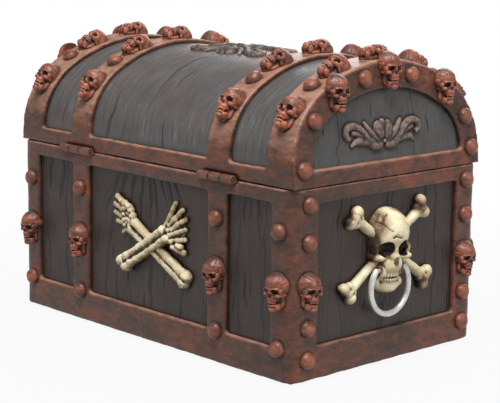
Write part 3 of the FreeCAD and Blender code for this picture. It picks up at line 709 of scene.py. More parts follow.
def crack(piece, path, width, depth, front):
    """Scratch a crack into a skull along a path of points seen from in front, in millimetres."""
    points = points_of(piece)
    flat = points[:, :2] / MM
    nearest = np.full(len(points), 1e9)
    for start, end in zip(path, path[1:]):
        first, last = np.array(start), np.array(end)
        run = last - first
        share = np.clip(((flat - first) @ run) / (run @ run), 0.0, 1.0)
        nearest = np.minimum(nearest, np.linalg.norm(flat - first - share[:, None] * run, axis=1))
    sunk = depth * np.clip(1.0 - nearest / width, 0.0, 1.0) * (points[:, 2] > front * MM)
    inward = -points
    inward /= np.linalg.norm(inward, axis=1)[:, None]
    move_points(piece, points + inward * (sunk * MM)[:, None])


lumps = clay((
    ((0, 2.2, 0.0), (4.4, 4.35, 4.5)), ((0, 2.7, 1.1), (3.6, 3.3, 3.6)), ((0, 1.6, 2.9), (3.5, 0.8, 1.75)),
    ((0, 0.2, 3.7), (0.5, 1.2, 0.85)), ((0, -1.9, 2.3), (2.1, 1.7, 2.0)), ((0, -5.5, 2.2), (1.6, 1.2, 1.7)),
    ((0, -2.6, -0.2), (2.6, 3.6, 2.0)),
), (
    ((3.55, 0.6, 2.1), (0.5, 1.2, 1.2)), ((2.6, -0.75, 2.7), (1.25, 0.75, 1.1)),
    ((3.4, -0.6, 1.1), (0.5, 0.6, 1.6)), ((1.65, -4.7, 1.3), (0.8, 1.3, 1.6)),
    ((2.4, -2.7, 0.2), (0.6, 2.3, 0.8)),
))
lumps += teeth(6, 58, 1.7, -3.2, 1.9, 2.1, (0.32, 0.55, 0.36))
lumps += teeth(6, 55, 1.55, -4.2, 1.8, 2.0, (0.3, 0.48, 0.34))
skull_pattern = melt(lumps, SKULL_GRAIN, 2)
hollows = clay((
    ((0, -3.65, 3.9), (2.3, 0.17, 1.6)), ((0, -0.75, 4.4), (0.5, 0.7, 1.0)),
), (
    ((1.85, 0.55, 4.5), (1.3, 1.0, 2.3), (0, 0, 8)), ((0.35, -1.05, 4.3), (0.4, 0.5, 0.9)),
    ((5.3, 1.2, 2.2), (1.1, 1.3, 1.4)), ((3.2, -2.6, 2.9), (1.0, 1.25, 1.9)),
))
scoop(skull_pattern, hollows, SKULL_GRAIN, 2)
for path in (
    ((-4.4, 3.2), (-3.7, 2.4), (-3.9, 1.6), (-3.2, 1.2)),
    ((4.4, 3.6), (3.6, 3.0), (3.9, 2.0), (3.3, 1.4)),
    ((-2.6, 5.6), (-1.6, 4.6), (-1.8, 3.8)),
    ((-1.0, 2.6), (0.0, 3.0), (1.0, 2.6)),
    ((2.2, 5.6), (2.8, 4.6)),
):
    crack(skull_pattern, path, *SKULL_CRACK)
saw_off(skull_pattern, -SKULL_BACK)
mark_wear(skull_pattern, SKULL_WEAR)
skull_heights = points_of(skull_pattern)[:, 1] / MM
mark(skull_pattern, "stain_and_painted_light", np.clip(0.8 * (skull_heights - SKULL_CREST), 0.0, 1.0))
thin_out(skull_pattern, SKULL_SHARE)


def set_skulls(pattern, name, body, node, places):
    """Small skulls at their places, each a little different, painted as rust."""
    skulls = set_out(pattern, places)
    weather(skulls, "skull_dents", *SKULL_DENTS)
    fit(skulls, name, body, "rust_ornament", ornament_paint, node)


def wash_and_shade_over(piece, others, strength, reach):
    """Darken a piece round others that stand on it or beside it: washed dark, and a painted shade."""
    wash_and_shade = strength * nearness(piece, others, reach)
    mark(piece, "wear_and_shade", np.minimum(marked(piece, "wear_and_shade"), 0.5 - wash_and_shade))


def wash_and_shade_bands(nodes, ornaments):
    """Darken the bands round the studs and skulls that stand on them: washed dark, and a painted shade."""
    others = [bpy.data.objects[name] for name in ornaments]
    for node in nodes:
        wash_and_shade_over(bpy.data.objects[node + "_cast"], others, BAND_WASH_AND_SHADE, BAND_SHADE_REACH)


base_ornaments = ["studs_on_base"]
for face, ending in (("front", ""), ("back", ""), ("left", "_end"), ("right", "_end")):
    base_ornaments.append("skulls_on_" + face + ending)
    places = base_places(face, (SKULL_Z,))
    set_skulls(skull_pattern, base_ornaments[-1], "base", "base_skulls_%s" % face, places)
wash_and_shade_bands(base_bands, base_ornaments)

# Crossed arm bones
# Two skeleton forearms with their hands, cast in one relief with each long panel and painted
# as old bone: each has two long bones with a groove between, an elbow, a wrist and five fingers.
BONE_GRAIN = 0.2 * MM
PANEL_CLEAR = 0.05 * MM
SHADE_WASH_REACH = 1.6 * MM
SHADE_WASH_STRENGTH = 0.75
FOOT_STAIN_AND_SHADE = 1.2
PALM_RADII = (4.5, 4.8, 1.35)
ARM_DENTS = (2.6 * MM, 0.8 * MM)
ARM_WEAR = (30, 0.18 * MM)
BONE_SHARE = 0.6
ARM_SHIFT = 4.0 * MM
ARM_Z = 39.75 * MM
BONE_CREAM = (238, 227, 193)
BONE_YELLOW = (204, 184, 138)
BONE_BROWN = (112, 76, 40)
BONE_DARK = (30, 19, 12)


def bone_finish(name):
    """Paint for old bone: cream, washed brown in the hollows, which also paints their shade, and brushed
    stains, partly painted shade, near black where strongest.
    """
    finish, board, surface = new_finish(name)
    large = mottle(board, 5.0 * MM, 4.0)
    small = mottle(board, 1.3 * MM, 4.0, start=5.0)
    level = kept(board, "wear_and_shade")
    stain_and_painted_light = kept(board, "stain_and_painted_light")
    colour = coat(board, BONE_CREAM, BONE_YELLOW, large, 0.4, 0.7, 0.85)
    colour = coat(board, colour, BONE_BROWN, level, 0.53, 0.3)
    colour = coat(board, colour, BONE_BROWN, small, 0.0, 0.5, stain_and_painted_light)
    colour = coat(board, colour, BONE_DARK, level, 0.26, 0.06)
    colour = coat(board, colour, BONE_DARK, stain_and_painted_light, 0.85, 1.35)
    plug(
        board, surface, Base_Color=colour, Roughness=0.5, Specular_IOR_Level=0.4,
        Normal=relief(board, small, 0.08 * MM))
    return finish


bone_paint = bone_finish("old_bone")


def rod(start, end, start_radius, end_radius):
    """A straight tapered rod between two points, in millimetres."""
    first, last = Vector(start), Vector(end)
    run = last - first
    bpy.ops.mesh.primitive_cone_add(
        vertices=20, radius1=start_radius * MM, radius2=end_radius * MM, depth=run.length * MM,
        location=(first + last) / 2 * MM, rotation=run.to_track_quat("Z", "Y").to_euler())
    return bpy.context.object


def along(start, end, share):
    """A point part of the way from one point to another."""
    return Vector(start).lerp(Vector(end), share)


def long_bone(start, end, height, radius, waist):
    """A long bone that is slimmer at its waist and swells to its ends."""
    first, last = Vector((*start, height)), Vector((*end, height))
    low, high = along(first, last, 0.3), along(first, last, 0.7)
    return [
        rod(along(first, last, -0.02), low, radius, waist),
        rod(low, high, waist, waist),
        rod(high, along(first, last, 1.02), waist, radius),
        ball(first, (radius * 1.15,) * 3),
        ball(last, (radius * 1.1,) * 3),
    ]


def finger(root, tip, radius, height):
    """A row of finger bones that thin out to the tip, each with a knuckle."""
    first, last = Vector((*root, height)), Vector((*tip, height * 0.75))
    bones = []
    for low, high, thick in ((0.0, 0.42, 1.0), (0.49, 0.74, 0.94), (0.81, 1.0, 0.86)):
        start, end = along(first, last, low), along(first, last, high)
        bones.append(rod(start, end, radius * thick * 0.9, radius * thick * 0.84))
        bones.append(ball(start, (radius * thick,) * 3))
        bones.append(ball(end, (radius * thick * 0.98,) * 3))
    return bones


def forearm(bones, fingers, carpals, palm, height, radius, waist, finger_height):
    """A forearm with its hand: x right, y up and z out from the panel, in millimetres."""
    lumps = []
    for start, end in bones:
        run = (Vector(end) - Vector(start)).normalized()
        lumps += long_bone(start, end, height, radius, waist)
        elbow = Vector(start) - run * 0.9
        lumps.append(ball((*elbow, height - 0.1), (radius * 1.4, radius * 1.3, radius * 1.25)))
    (first, last), (other_first, other_last) = bones
    web = [along(first, other_first, 0.5), along(last, other_last, 0.5)]
    lumps.append(rod((*web[0], height - 0.2), (*web[1], height - 0.2), 1.2, 1.2))
    lumps.append(ball((*palm, 0.5), PALM_RADII))
    for x, y, size in carpals:
        lumps.append(ball((x, y, finger_height + 0.2), (size, size * 0.85, 1.35)))
    for root, tip, thick in fingers:
        lumps += finger(root, tip, thick, finger_height)
    arm = melt(lumps, BONE_GRAIN, 2)
    saw_off(arm, PANEL_CLEAR)
    return arm


def stain_and_shade(piece, foot, under, spots):
    """Stain a piece's foot, its underside and some spots: centre, radii, strength and soft rim. The foot and
    underside are browned partly as a painted shade.
    """
    points = points_of(piece) / MM
    # Brown towards the panel: partly a wash, partly a painted shade where the bones meet it.
    amount = FOOT_STAIN_AND_SHADE * np.clip(1.0 - points[:, 2] / foot, 0.0, 1.0)
    # Brown on the faces that look down: a painted shade.
    amount = np.maximum(amount, under * np.clip(-facing_of(piece)[:, 1], 0.0, 1.0))
    for centre, radii, strength, soft in spots:
        gone = np.linalg.norm((points - np.array(centre)) / np.array(radii), axis=1)
        amount = np.maximum(amount, strength * np.clip((1.0 + soft - gone) / soft, 0.0, 1.0))
    mark(piece, "stain_and_painted_light", amount)


def wash_and_shade_round(panel, piece):
    """Darken a panel where a piece stands on it: washed dark, and a painted shade round the piece."""
    wash_and_shade = SHADE_WASH_STRENGTH * nearness(panel, [piece], SHADE_WASH_REACH)
    mark(panel, "groove_and_shade", np.maximum(marked(panel, "groove_and_shade"), wash_and_shade))


OVER_BONES = (((-16.0, -11.1), (6.0, 2.9)), ((-13.5, -13.0), (8.2, 0.3)))
OVER_FINGERS = (
    ((7.2, 4.9), (11.8, 13.4), 1.1), ((9.3, 5.3), (15.7, 11.5), 1.15), ((10.5, 4.1), (17.3, 8.4), 1.15),
    ((10.9, 2.3), (17.0, 4.7), 1.15), ((11.4, 0.2), (17.1, 1.2), 1.1), ((11.8, -2.2), (16.4, -3.6), 1.45))
OVER_CARPALS = (
    (7.0, 4.0, 1.5), (8.9, 3.6, 1.4), (9.9, 1.9, 1.4), (8.8, 0.3, 1.4), (10.6, -0.4, 1.4),
    (11.4, -2.2, 1.4), (13.8, -1.3, 1.2), (15.2, -1.6, 1.3))
UNDER_BONES = (((17.4, -11.4), (-10.2, 3.2)), ((16.0, -13.8), (-12.0, 0.3)))
UNDER_FINGERS = (
    ((-12.6, 7.4), (-20.6, 11.4), 1.35), ((-13.8, 6.0), (-22.0, 8.5), 1.2),
    ((-14.2, 4.2), (-21.6, 5.4), 1.2), ((-14.2, 2.6), (-20.5, 2.3), 1.2), ((-13.2, 1.0), (-17.0, -1.2), 1.2))
UNDER_CARPALS = (
    (-11.4, 5.4, 1.6), (-12.2, 3.6, 1.5), (-12.4, 1.8, 1.5), (-13.4, 8.8, 1.4), (-15.6, 9.6, 1.4),
    (-17.6, 10.2, 1.2), (-15.8, 7.6, 1.3), (-16.0, 5.6, 1.2), (-15.8, 3.6, 1.2), (-15.4, 1.6, 1.1))
arm_over = forearm(OVER_BONES, OVER_FINGERS, OVER_CARPALS, (12.4, 4.2), 2.2, 1.75, 1.5, 1.5)
arm_under = forearm(UNDER_BONES, UNDER_FINGERS, UNDER_CARPALS, (-16.4, 5.4), 1.4, 1.75, 1.45, 1.3)
OVER_STAINS = (
    ((14.0, 14.4, 0.4), (2.4, 2.0, 2.0), 0.8, 0.4), ((18.0, 9.6, 0.2), (2.2, 1.6, 2.0), 0.9, 0.4),
    ((15.4, -3.6, 0.6), (3.4, 1.8, 2.0), 0.7, 0.5), ((-16.6, -13.4, 0.6), (2.4, 1.6, 1.6), 0.9, 0.4),
    ((-4.6, -4.4, 1.0), (9.0, 0.9, 1.2), 0.7, 0.4), ((10.0, 0.8, 0.6), (2.0, 2.6, 1.2), 0.7, 0.5))
UNDER_STAINS = (
    ((-15.0, 4.6, 0.4), (2.0, 4.6, 1.4), 0.75, 0.5), ((18.4, -13.2, 0.4), (1.6, 1.8, 1.6), 0.9, 0.4),
    ((-14.0, -1.6, 0.2), (2.6, 1.6, 1.4), 0.8, 0.4), ((8.0, -8.6, 0.6), (6.0, 1.2, 1.2), 0.7, 0.5))
for arm, spots in ((arm_over, OVER_STAINS), (arm_under, UNDER_STAINS)):
    weather(arm, "bone_dents", *ARM_DENTS)
    mark_wear(arm, ARM_WEAR)
    stain_and_shade(arm, 3.3, 1.3, spots)
    thin_out(arm, BONE_SHARE)
for face, y_sign in FACES:
    place = stand((-y_sign * ARM_SHIFT, y_sign * shell_high.y, ARM_Z), (0, y_sign, 0))
    for arm, layer in ((arm_over, "over"), (arm_under, "under")):
        piece = set_out(arm, [place])
        ending = "_%s_%s" % (face, layer)
        fit(piece, "forearm" + ending, "base", "bone", bone_paint, "arm_bones" + ending)
        wash_and_shade_round(bpy.data.objects["plank_panel_%s_middle" % face], piece)

# Crossed bones of the ends
# Two bones that cross behind the skull on each end panel, with a pair of knobs at each end,
# painted as the arms are, with brown painted shade on the knobs' left sides and a painted shadow where the
# skull lies over them.
EMBLEM_Z = 40.25 * MM
EMBLEM_SHIFT = 2.0 * MM
BONE_HEIGHT = 1.4
BONE_TOP = (17.0, 12.9)
BONE_FOOT = (-19.6, -12.4)
BONE_SHIFT = 1.2 * MM
BONE_DENTS = (2.4 * MM, 0.35 * MM)
BONE_WEAR = (40, 0.36 * MM)
KNOB_REACH = 2.3


def crossbone(top, foot):
    """One bone with two knobs at each end: x right, y up and z out from the panel, in millimetres."""
    run = (Vector(top) - Vector(foot)).normalized()
    across = Vector((-run.y, run.x)) * KNOB_REACH
    lumps = long_bone(foot, top, BONE_HEIGHT, 1.95, 1.6)
    # Brown where the skull lies over the bones: a painted shadow of the skull.
    spots = [((-2.0, 1.0, 0.0), (10.0, 8.0, 3.4), 1.1, 0.5)]
    for end, away in ((Vector(top), run), (Vector(foot), -run)):
        for side in (-1, 1):
            knob = end + across * side + away * (0.4 + 0.35 * side)
            lumps.append(ball((*knob, BONE_HEIGHT + 0.1), (2.35, 2.25, 2.2)))
            neck = end + across * side * 0.5 - away * 1.8
            lumps.append(ball((*neck, BONE_HEIGHT), (1.8, 1.8, 1.7)))
        # The knob stains lie shifted to the left: painted shade on the knobs' dark side.
        tip = end + away * 1.8 - Vector((2.6, 0.4))
        spots.append(((tip.x, tip.y, 0.6), (2.8, 2.7, 2.4), 1.3, 0.8))
    bone = melt(lumps, BONE_GRAIN, 4)
    saw_off(bone, PANEL_CLEAR)
    weather(bone, "bone_dents", *BONE_DENTS)
    mark_wear(bone, BONE_WEAR)
    stain_and_shade(bone, 2.4, 0.6, spots)
    thin_out(bone, BONE_SHARE)
    return bone


rising = crossbone(BONE_TOP, BONE_FOOT)
falling = crossbone((-BONE_TOP[0], BONE_TOP[1]), (-BONE_FOOT[0], BONE_FOOT[1]))
emblem_places = {}
for side, x_sign in SIDES:
    emblem_places[side] = stand((x_sign * shell_high.x, EMBLEM_SHIFT, EMBLEM_Z), (x_sign, 0, 0))
    for bone, slope in ((rising, "rising"), (falling, "falling")):
        piece = set_out(bone, [emblem_places[side] @ Matrix.Translation((BONE_SHIFT, 0.0, 0.0))])
        ending = "_%s_%s" % (side, slope)
        fit(piece, "crossed_bone" + ending, "base", "bone", bone_paint, "crossbone" + ending)
        wash_and_shade_round(bpy.data.objects["plank_panel_%s" % side], piece)

# Skulls that hold the rings
# A bone-coloured skull on each end panel, over the crossed bones and turned a little to one side. It has
# a cracked forehead, wide black eyes, a small nose, cheekbones and two rows of teeth; the ring's pins go
# into its jaw.
HEAD_GRAIN = 0.2 * MM
HEAD_TURN = 0.22
HEAD_SHARE = 0.55
HEAD_TEETH = 9
HEAD_TEETH_ANGLE = 62
HEAD_DENTS = (3.0 * MM, 0.35 * MM)
HEAD_WEAR = (50, 0.36 * MM)
HEAD_CRACK = (0.36, 0.55, 2.0)
BROW_CRACK = (0.62, 0.75, 2.0)
lumps = clay((
    ((0, 6.1, -0.3), (8.9, 9.1, 8.4)), ((0, 6.4, 2.0), (7.6, 7.0, 6.1)), ((0, 3.8, 3.4), (7.2, 1.7, 3.9)),
    ((0, 0.8, 5.5), (1.3, 3.2, 1.7)), ((0, -1.7, 6.0), (1.7, 1.9, 1.5)), ((0, -4.4, 2.6), (4.9, 4.2, 4.6)),
    ((0, -7.2, 3.0), (3.7, 1.6, 3.1)), ((0, -12.2, 2.4), (4.8, 2.5, 2.6)),
    ((0, -13.2, 3.4), (3.1, 1.4, 1.6)), ((0, -6.5, 0.2), (5.0, 7.0, 2.2)),
    ((-4.9, -6.6, 4.4), (1.15, 2.6, 3.0)), ((4.8, -6.3, 2.4), (1.1, 2.8, 2.2)),
), (
    ((6.5, 1.2, 3.6), (0.8, 2.5, 2.2)), ((5.2, -1.8, 4.2), (2.6, 1.3, 2.6)),
    ((7.2, -1.6, 1.6), (0.9, 1.0, 2.9)), ((4.6, -11.2, 1.4), (1.7, 2.2, 2.6)),
    ((5.3, -7.0, 0.6), (1.0, 5.0, 1.6)), ((7.0, 0.6, -0.4), (1.6, 4.0, 2.4)),
    ((3.5, -9.2, 2.4), (1.2, 1.3, 1.5)),
))
lumps += teeth(HEAD_TEETH, HEAD_TEETH_ANGLE, 3.4, -8.35, 2.5, 3.1, (0.4, 0.75, 0.5))
lumps += teeth(HEAD_TEETH, 60, 3.25, -9.9, 2.4, 3.0, (0.38, 0.7, 0.5))
head_pattern = melt(lumps, HEAD_GRAIN, 2)
EYE = (3.45, 1.15, 7.4)
EYE_RADII = (2.6, 2.75, 4.6)
EYE_DEEP = 3.4
EYE_DEEP_RADII = (3.1, 2.9, 2.2)
NOSE = (0.0, -3.3, 7.9)
NOSE_RADII = (0.7, 1.2, 1.2)
hollows = clay(((NOSE, NOSE_RADII),), (
    (EYE, EYE_RADII, (0, 0, 6)), ((0.6, -3.9, 7.4), (0.5, 0.6, 0.9)), ((10.3, 3.0, 3.6), (2.5, 3.4, 3.4)),
    ((8.2, -4.4, 5.8), (2.2, 1.5, 2.4)),
))
scoop(head_pattern, hollows, HEAD_GRAIN, 3)
weather(head_pattern, "skull_dents", *HEAD_DENTS)
for path in (
    ((-7.6, 9.6), (-6.2, 10.9), (-4.8, 10.2), (-3.4, 8.4), (-2.2, 7.6)),
    ((-4.8, 10.2), (-3.6, 12.4), (-2.2, 13.2)),
    ((-6.2, 10.9), (-5.2, 12.4), (-4.2, 13.4)),
    ((4.4, 12.9), (5.6, 11.0), (5.1, 9.6), (6.3, 8.4)),
    ((-4.2, -1.2), (-4.6, -2.2), (-6.6, -2.4)),
):
    crack(head_pattern, path, *HEAD_CRACK)
crack(head_pattern, ((-1.9, 5.4), (-1.1, 6.0), (0.3, 5.5), (1.3, 5.2)), *BROW_CRACK)
mark_wear(head_pattern, HEAD_WEAR)
# Brown and near-black stains in the hollows of the face and on its sides: nose, eye sockets, between the
# teeth, temples, under and behind the cheekbones. They are partly a wash and partly painted shade, heavier
# on the left, the side painted as turned from the light.
spots = [
    (NOSE, (1.2, 1.7, 2.2), 0.95, 0.15), ((-9.4, 3.4, 2.0), (4.4, 6.4, 5.0), 1.25, 0.4),
    ((9.4, 3.4, 2.0), (3.6, 6.0, 4.6), 1.15, 0.4), ((-8.0, 9.8, 2.4), (5.4, 5.0, 4.6), 0.95, 0.5),
    ((-8.2, -3.0, 0.6), (2.8, 2.4, 2.8), 1.1, 0.3), ((8.2, -3.0, 0.6), (2.8, 2.4, 2.8), 1.1, 0.3),
    ((-6.2, -5.6, 3.2), (2.4, 2.8, 3.4), 1.1, 0.4), ((6.4, -6.0, 2.6), (2.4, 3.0, 3.0), 1.0, 0.4),
    ((0.0, -9.1, 4.8), (4.2, 0.14, 2.4), 1.1, 1.6), ((5.0, 14.2, 1.6), (3.4, 2.4, 2.4), 0.7, 0.6)]
for eye_x in (-EYE[0], EYE[0]):
    spots.append(((eye_x, EYE[1], EYE[2] - 0.9), EYE_RADII, 1.5, 0.08))
    spots.append(((eye_x, EYE[1], EYE_DEEP), EYE_DEEP_RADII, 1.5, 0.08))
for number in range(HEAD_TEETH - 1):
    bend = math.radians(HEAD_TEETH_ANGLE * ((2 * number + 1) / (HEAD_TEETH - 1) - 1.0))
    spots.append(((3.6 * math.sin(bend), -9.1, 2.5 + 3.4 * math.cos(bend)), (0.1, 1.1, 0.8), 0.9, 1.6))
stain_and_shade(head_pattern, 1.9, 0.4, spots)
head_points = points_of(head_pattern)
head_points[:, 2] += HEAD_TURN * head_points[:, 0]
move_points(head_pattern, head_points)
saw_off(head_pattern, PANEL_CLEAR)
thin_out(head_pattern, HEAD_SHARE)
for side, x_sign in SIDES:
    piece = set_out(head_pattern, [emblem_places[side]])
    fit(piece, "ring_skull_%s" % side, "base", "bone", bone_paint, "handle_skull_%s" % side)
    wash_and_shade_round(bpy.data.objects["plank_panel_%s" % side], piece)

# Rings
# A round silver-grey wire bent into an open ring on each end. Its two pins sit in the skull's jaw,
# and it swings up and out.
RING_GRAIN = 0.22 * MM
RING_DENTS = (4.0 * MM, 0.12 * MM)
RING_GREY = (214, 214, 209)
RING_DULL = (164, 164, 160)

ring_finish, board, surface = new_finish("ring_silver")
tarnish = mottle(board, 2.5 * MM, 4.0)
scratches = mottle(board, 0.3 * MM, 2.0, start=3.0)
plug(
    board, surface, Base_Color=coat(board, RING_GREY, RING_DULL, tarnish, 0.5, 0.75, 0.6), Metallic=0.55,
    Roughness=spread(board, tarnish, 0.3, 0.5), Normal=relief(board, scratches, 0.03 * MM))
for side, x_sign in SIDES:
    ring = copy_of("handle_ring_%s" % side)
    melt_skin(ring, RING_GRAIN, 3)
    weather(ring, "ring_dents", *RING_DENTS)
    fit(ring, "ring_wire_%s" % side, "ring_%s" % side, "ring_metal", ring_finish, "handle_ring_%s" % side)

# Hinges
# Two small butt hinges let into the rims: leaves with rolled knuckles, a pin through them and flat
# nails. The leaves are painted a little paler than the bands; pins and nails are left as dull iron.
HINGE_EDGE = 0.12 * MM
FLAT_ANGLE = math.radians(1)
EDGE_ANGLE = math.radians(40)
HINGE_GRAIN = 0.2 * MM
HINGE_WEAR = (16, 0.2 * MM)
HINGE_SHARE = 0.5
HINGE_SHADE = 0.6
HINGE_SHADE_REACH = 0.7 * MM
HINGE_COLOURS = {
    "grey": (82, 58, 48), "brown": (106, 68, 54), "rust": (132, 84, 67), "edge": (168, 110, 88),
    "hollow": (40, 26, 22), "dust_and_top_light": (82, 58, 48)}
NAIL_BROWN = (70, 54, 46)
NAIL_GREY = (120, 112, 104)
hinge_paint = rust_finish("hinge_paint", 0.42, **HINGE_COLOURS)

for side, x_sign in SIDES:
    for body in ("base", "lid"):
        node = "hinge_%s_leaf_%s" % (body, side)
        leaf = copy_of(node)
        melt_skin(leaf, HINGE_GRAIN, 1)
        mark_wear(leaf, HINGE_WEAR)
        thin_out(leaf, HINGE_SHARE)
        fit(leaf, node + "_eased", body, "hinge_metal", hinge_paint, node)
    leaves = [bpy.data.objects["hinge_%s_leaf_%s_eased" % (body, side)] for body in ("base", "lid")]
    # Darken each leaf where it meets the other: a painted shade in the gap between them.
    for leaf, other in (leaves, leaves[::-1]):
        wash_and_shade_over(leaf, [other], HINGE_SHADE, HINGE_SHADE_REACH)

nail_finish, board, surface = new_finish("nail_iron")
nail_rust = mottle(board, 0.8 * MM, 4.0)
plug(
    board, surface, Base_Color=coat(board, NAIL_BROWN, NAIL_GREY, nail_rust, 0.4, 0.65), Metallic=0.7,
    Roughness=spread(board, nail_rust, 0.35, 0.65), Normal=relief(board, nail_rust, 0.04 * MM))
for node, body in (
    ("hinge_pin_left", "base"), ("hinge_pin_right", "base"),
    ("hinge_base_nails", "base"), ("hinge_lid_nails", "lid"),
):
    piece = copy_of(node)
    edit(piece, bpy.ops.mesh.dissolve_limited, angle_limit=FLAT_ANGLE)
    rework(piece, "BEVEL", width=HINGE_EDGE, segments=2, limit_method="ANGLE", angle_limit=EDGE_ANGLE)
    fit(piece, node + "_eased", body, "hinge_metal", nail_finish, node)

# Plank panels of the lid
# The barrel's staves are the same dark resin with fine scratches round the arch, worn to a
# smoother, paler grey. The leaning ends have upright grain and a low ledge along their foot.
SHOULDER_RADIUS = 27.9 * MM
LID_SPRING = 5.9 * MM
END_LEAN = math.radians(5.5)
END_BAND_WIDTH = 12.5 * MM
ARCH_BAND_WIDTH = 9.5 * MM
BAND_THICKNESS = 2.0 * MM
STAVE_STEP = 0.36 * MM
STAVE_ROW = 1.3 * MM
LEDGE_HEIGHT = 2.6 * MM
LEDGE_DEPTH = 0.3 * MM
ARCH_SHADOW = 0.8
ARCH_SHADOW_REACH = 2.2 * MM
STAVE_CRACKS = {"left": 2, "middle": 7, "right": 2}
STAVE_SHEET = 0.5 * MM
STAVE_RELIEF = 0.6
LID_END_GRAIN = {"cracks": 8, "joints": 2, "splits": 0, "fan": 0.0}
LEDGE_SLOPE = 0.3 * MM
STAVE_COLOURS = {
    "crack": (46, 43, 42), "dark": (70, 68, 67), "mid": (90, 89, 88), "brushed": (172, 174, 175),
    "tint": (96, 80, 75)}
END_COLOURS = {
    "crack": (28, 26, 25), "dark": (66, 65, 62), "mid": (87, 85, 82), "brushed": (122, 121, 117),
    "tint": (78, 79, 79)}

rim_low, rim_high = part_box("lid_rim_band")
half_depth = rim_high.y
half_length = rim_high.x
apex_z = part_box("lid_strap_left")[1].z
spring_z = rim_low.z + LID_SPRING
lid_rise = apex_z - spring_z
crown_radius = half_depth ** 2 - 2 * half_depth * SHOULDER_RADIUS + lid_rise ** 2
crown_radius /= 2 * (lid_rise - SHOULDER_RADIUS)
crown_z = apex_z - crown_radius
shoulder_y = half_depth - SHOULDER_RADIUS
turn_angle = math.atan2(shoulder_y, spring_z - crown_z)


def arch_half(inset):
    """The way along the arch from its crest to the spring line."""
    return (crown_radius - inset) * turn_angle + (SHOULDER_RADIUS - inset) * (math.pi / 2 - turn_angle)


def arch_point(way, inset=0.0):
    """The point at a way along the arch from its crest, and the slope there."""
    side = math.copysign(1.0, way)
    crown = crown_radius - inset
    angle = abs(way) / crown
    if angle <= turn_angle:
        return side * crown * math.sin(angle), crown_z + crown * math.cos(angle), side * angle
    shoulder = SHOULDER_RADIUS - inset
    angle = turn_angle + (abs(way) - crown * turn_angle) / shoulder
    over = max(0.0, angle - math.pi / 2) * shoulder
    angle = min(angle, math.pi / 2)
    y = shoulder_y + shoulder * math.sin(angle)
    return side * y, spring_z + shoulder * math.cos(angle) - over, side * angle


def lid_end_x(z, inset=0.0):
    """Half the lid's length at a height; the ends lean in."""
    return half_length - inset / math.cos(END_LEAN) - (z - rim_low.z) * math.tan(END_LEAN)


def lean(x_sign):
    """Which way is out, and which way is up, on a leaning end."""
    out, over = math.cos(END_LEAN), math.sin(END_LEAN)
    return Vector((x_sign * out, 0.0, over)), Vector((-x_sign * over, 0.0, out))


stave_paint = plank_finish("barrel_planks", (1, 2), 0.3, **STAVE_COLOURS)
end_paint = plank_finish("lid_end_planks", (2,), 0.4, **END_COLOURS)
panel_way = arch_half(BAND_THICKNESS) + (spring_z - rim_high.z) + TUCK
strap_edges = [corner.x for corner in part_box("lid_strap_right")]
for window, x_sign in (("left", -1), ("middle", 0), ("right", 1)):
    width = 2 * strap_edges[0]
    if window != "middle":
        width = lid_end_x(rim_high.z, END_BAND_WIDTH) - strap_edges[1]
    plate = carved_plate(
        width, 2 * panel_way, STAVE_STEP, STAVE_ROW, 51 + x_sign,
        cracks=STAVE_CRACKS[window], joints=0, splits=0, fan=0.0)
    points = points_of(plate)
    share = points[:, 0] / width + 0.5
    rolled = np.empty_like(points)
    for number, (way, lift) in enumerate(zip(points[:, 1], points[:, 2])):
        y, z, slope = arch_point(way, BAND_THICKNESS - 0.5 * SKIN)
        y += (lift - 0.5 * SKIN) * STAVE_RELIEF * math.sin(slope)
        z += (lift - 0.5 * SKIN) * STAVE_RELIEF * math.cos(slope)
        if window == "middle":
            x = points[number, 0] * (1.0 + TUCK / strap_edges[0])
        else:
            outer = lid_end_x(z, END_BAND_WIDTH) + TUCK
            inner = strap_edges[1] - TUCK
            x = x_sign * (inner + share[number] * (outer - inner))
        rolled[number] = (x, y, z)
    move_points(plate, rolled)
    edit(plate, bpy.ops.mesh.normals_make_consistent, inside=False)
    if plate.data.polygons[len(plate.data.polygons) // 2].normal.z < 0:
        plate.data.flip_normals()
    rework(plate, "SOLIDIFY", thickness=STAVE_SHEET, offset=-1.0)
    fit(plate, "barrel_staves_%s" % window, "lid", "dark_planks", stave_paint)

for side, x_sign in SIDES:
    inset = ARCH_BAND_WIDTH - TUCK
    half_width = half_depth - inset
    foot = rim_high.z - TUCK
    tall = apex_z - inset - foot
    plate = carved_plate(
        2 * half_width, tall, GRAIN_STEP * 1.4, ROW_STEP * 0.6, 71 + x_sign, **LID_END_GRAIN)
    points = points_of(plate)
    heights = []
    for y in points[:, 0]:
        inner = crown_radius - inset
        if abs(y) <= inner * math.sin(turn_angle):
            heights.append(crown_z + math.sqrt(inner ** 2 - y ** 2))
        else:
            reach = SHOULDER_RADIUS - inset
            heights.append(spring_z + math.sqrt(max(0.0, reach ** 2 - (abs(y) - shoulder_y) ** 2)))
    share = points[:, 1] / tall + 0.5
    above = share * (np.array(heights) - foot)
    points[:, 1] = above
    # Darken the panel along the inside of the arch band: the band's painted shadow.
    reach = np.minimum(np.array(heights) - foot - above, half_width - np.abs(points[:, 0])) - TUCK
    grooves = np.clip((SKIN - points[:, 2]) / DEEPEST, 0.0, 1.0)
    mark(plate, "groove_and_shade", np.maximum(grooves, ARCH_SHADOW * np.clip(1.0 - reach / ARCH_SHADOW_REACH, 0.0, 1.0)))
    points[:, 2] += LEDGE_DEPTH * np.clip((LEDGE_HEIGHT + TUCK - above) / LEDGE_SLOPE, 0.0, 1.0)
    move_points(plate, points)
    close_back(plate, SKIN)
    plate.data.transform(Matrix.Scale(1.0 / math.cos(END_LEAN), 4, (0, 1, 0)))
    plate.data.transform(stand((x_sign * lid_end_x(foot, BAND_THICKNESS), 0.0, foot), *lean(x_sign)))
    fit(plate, "lid_end_panel_%s" % side, "lid", "dark_planks", end_paint)

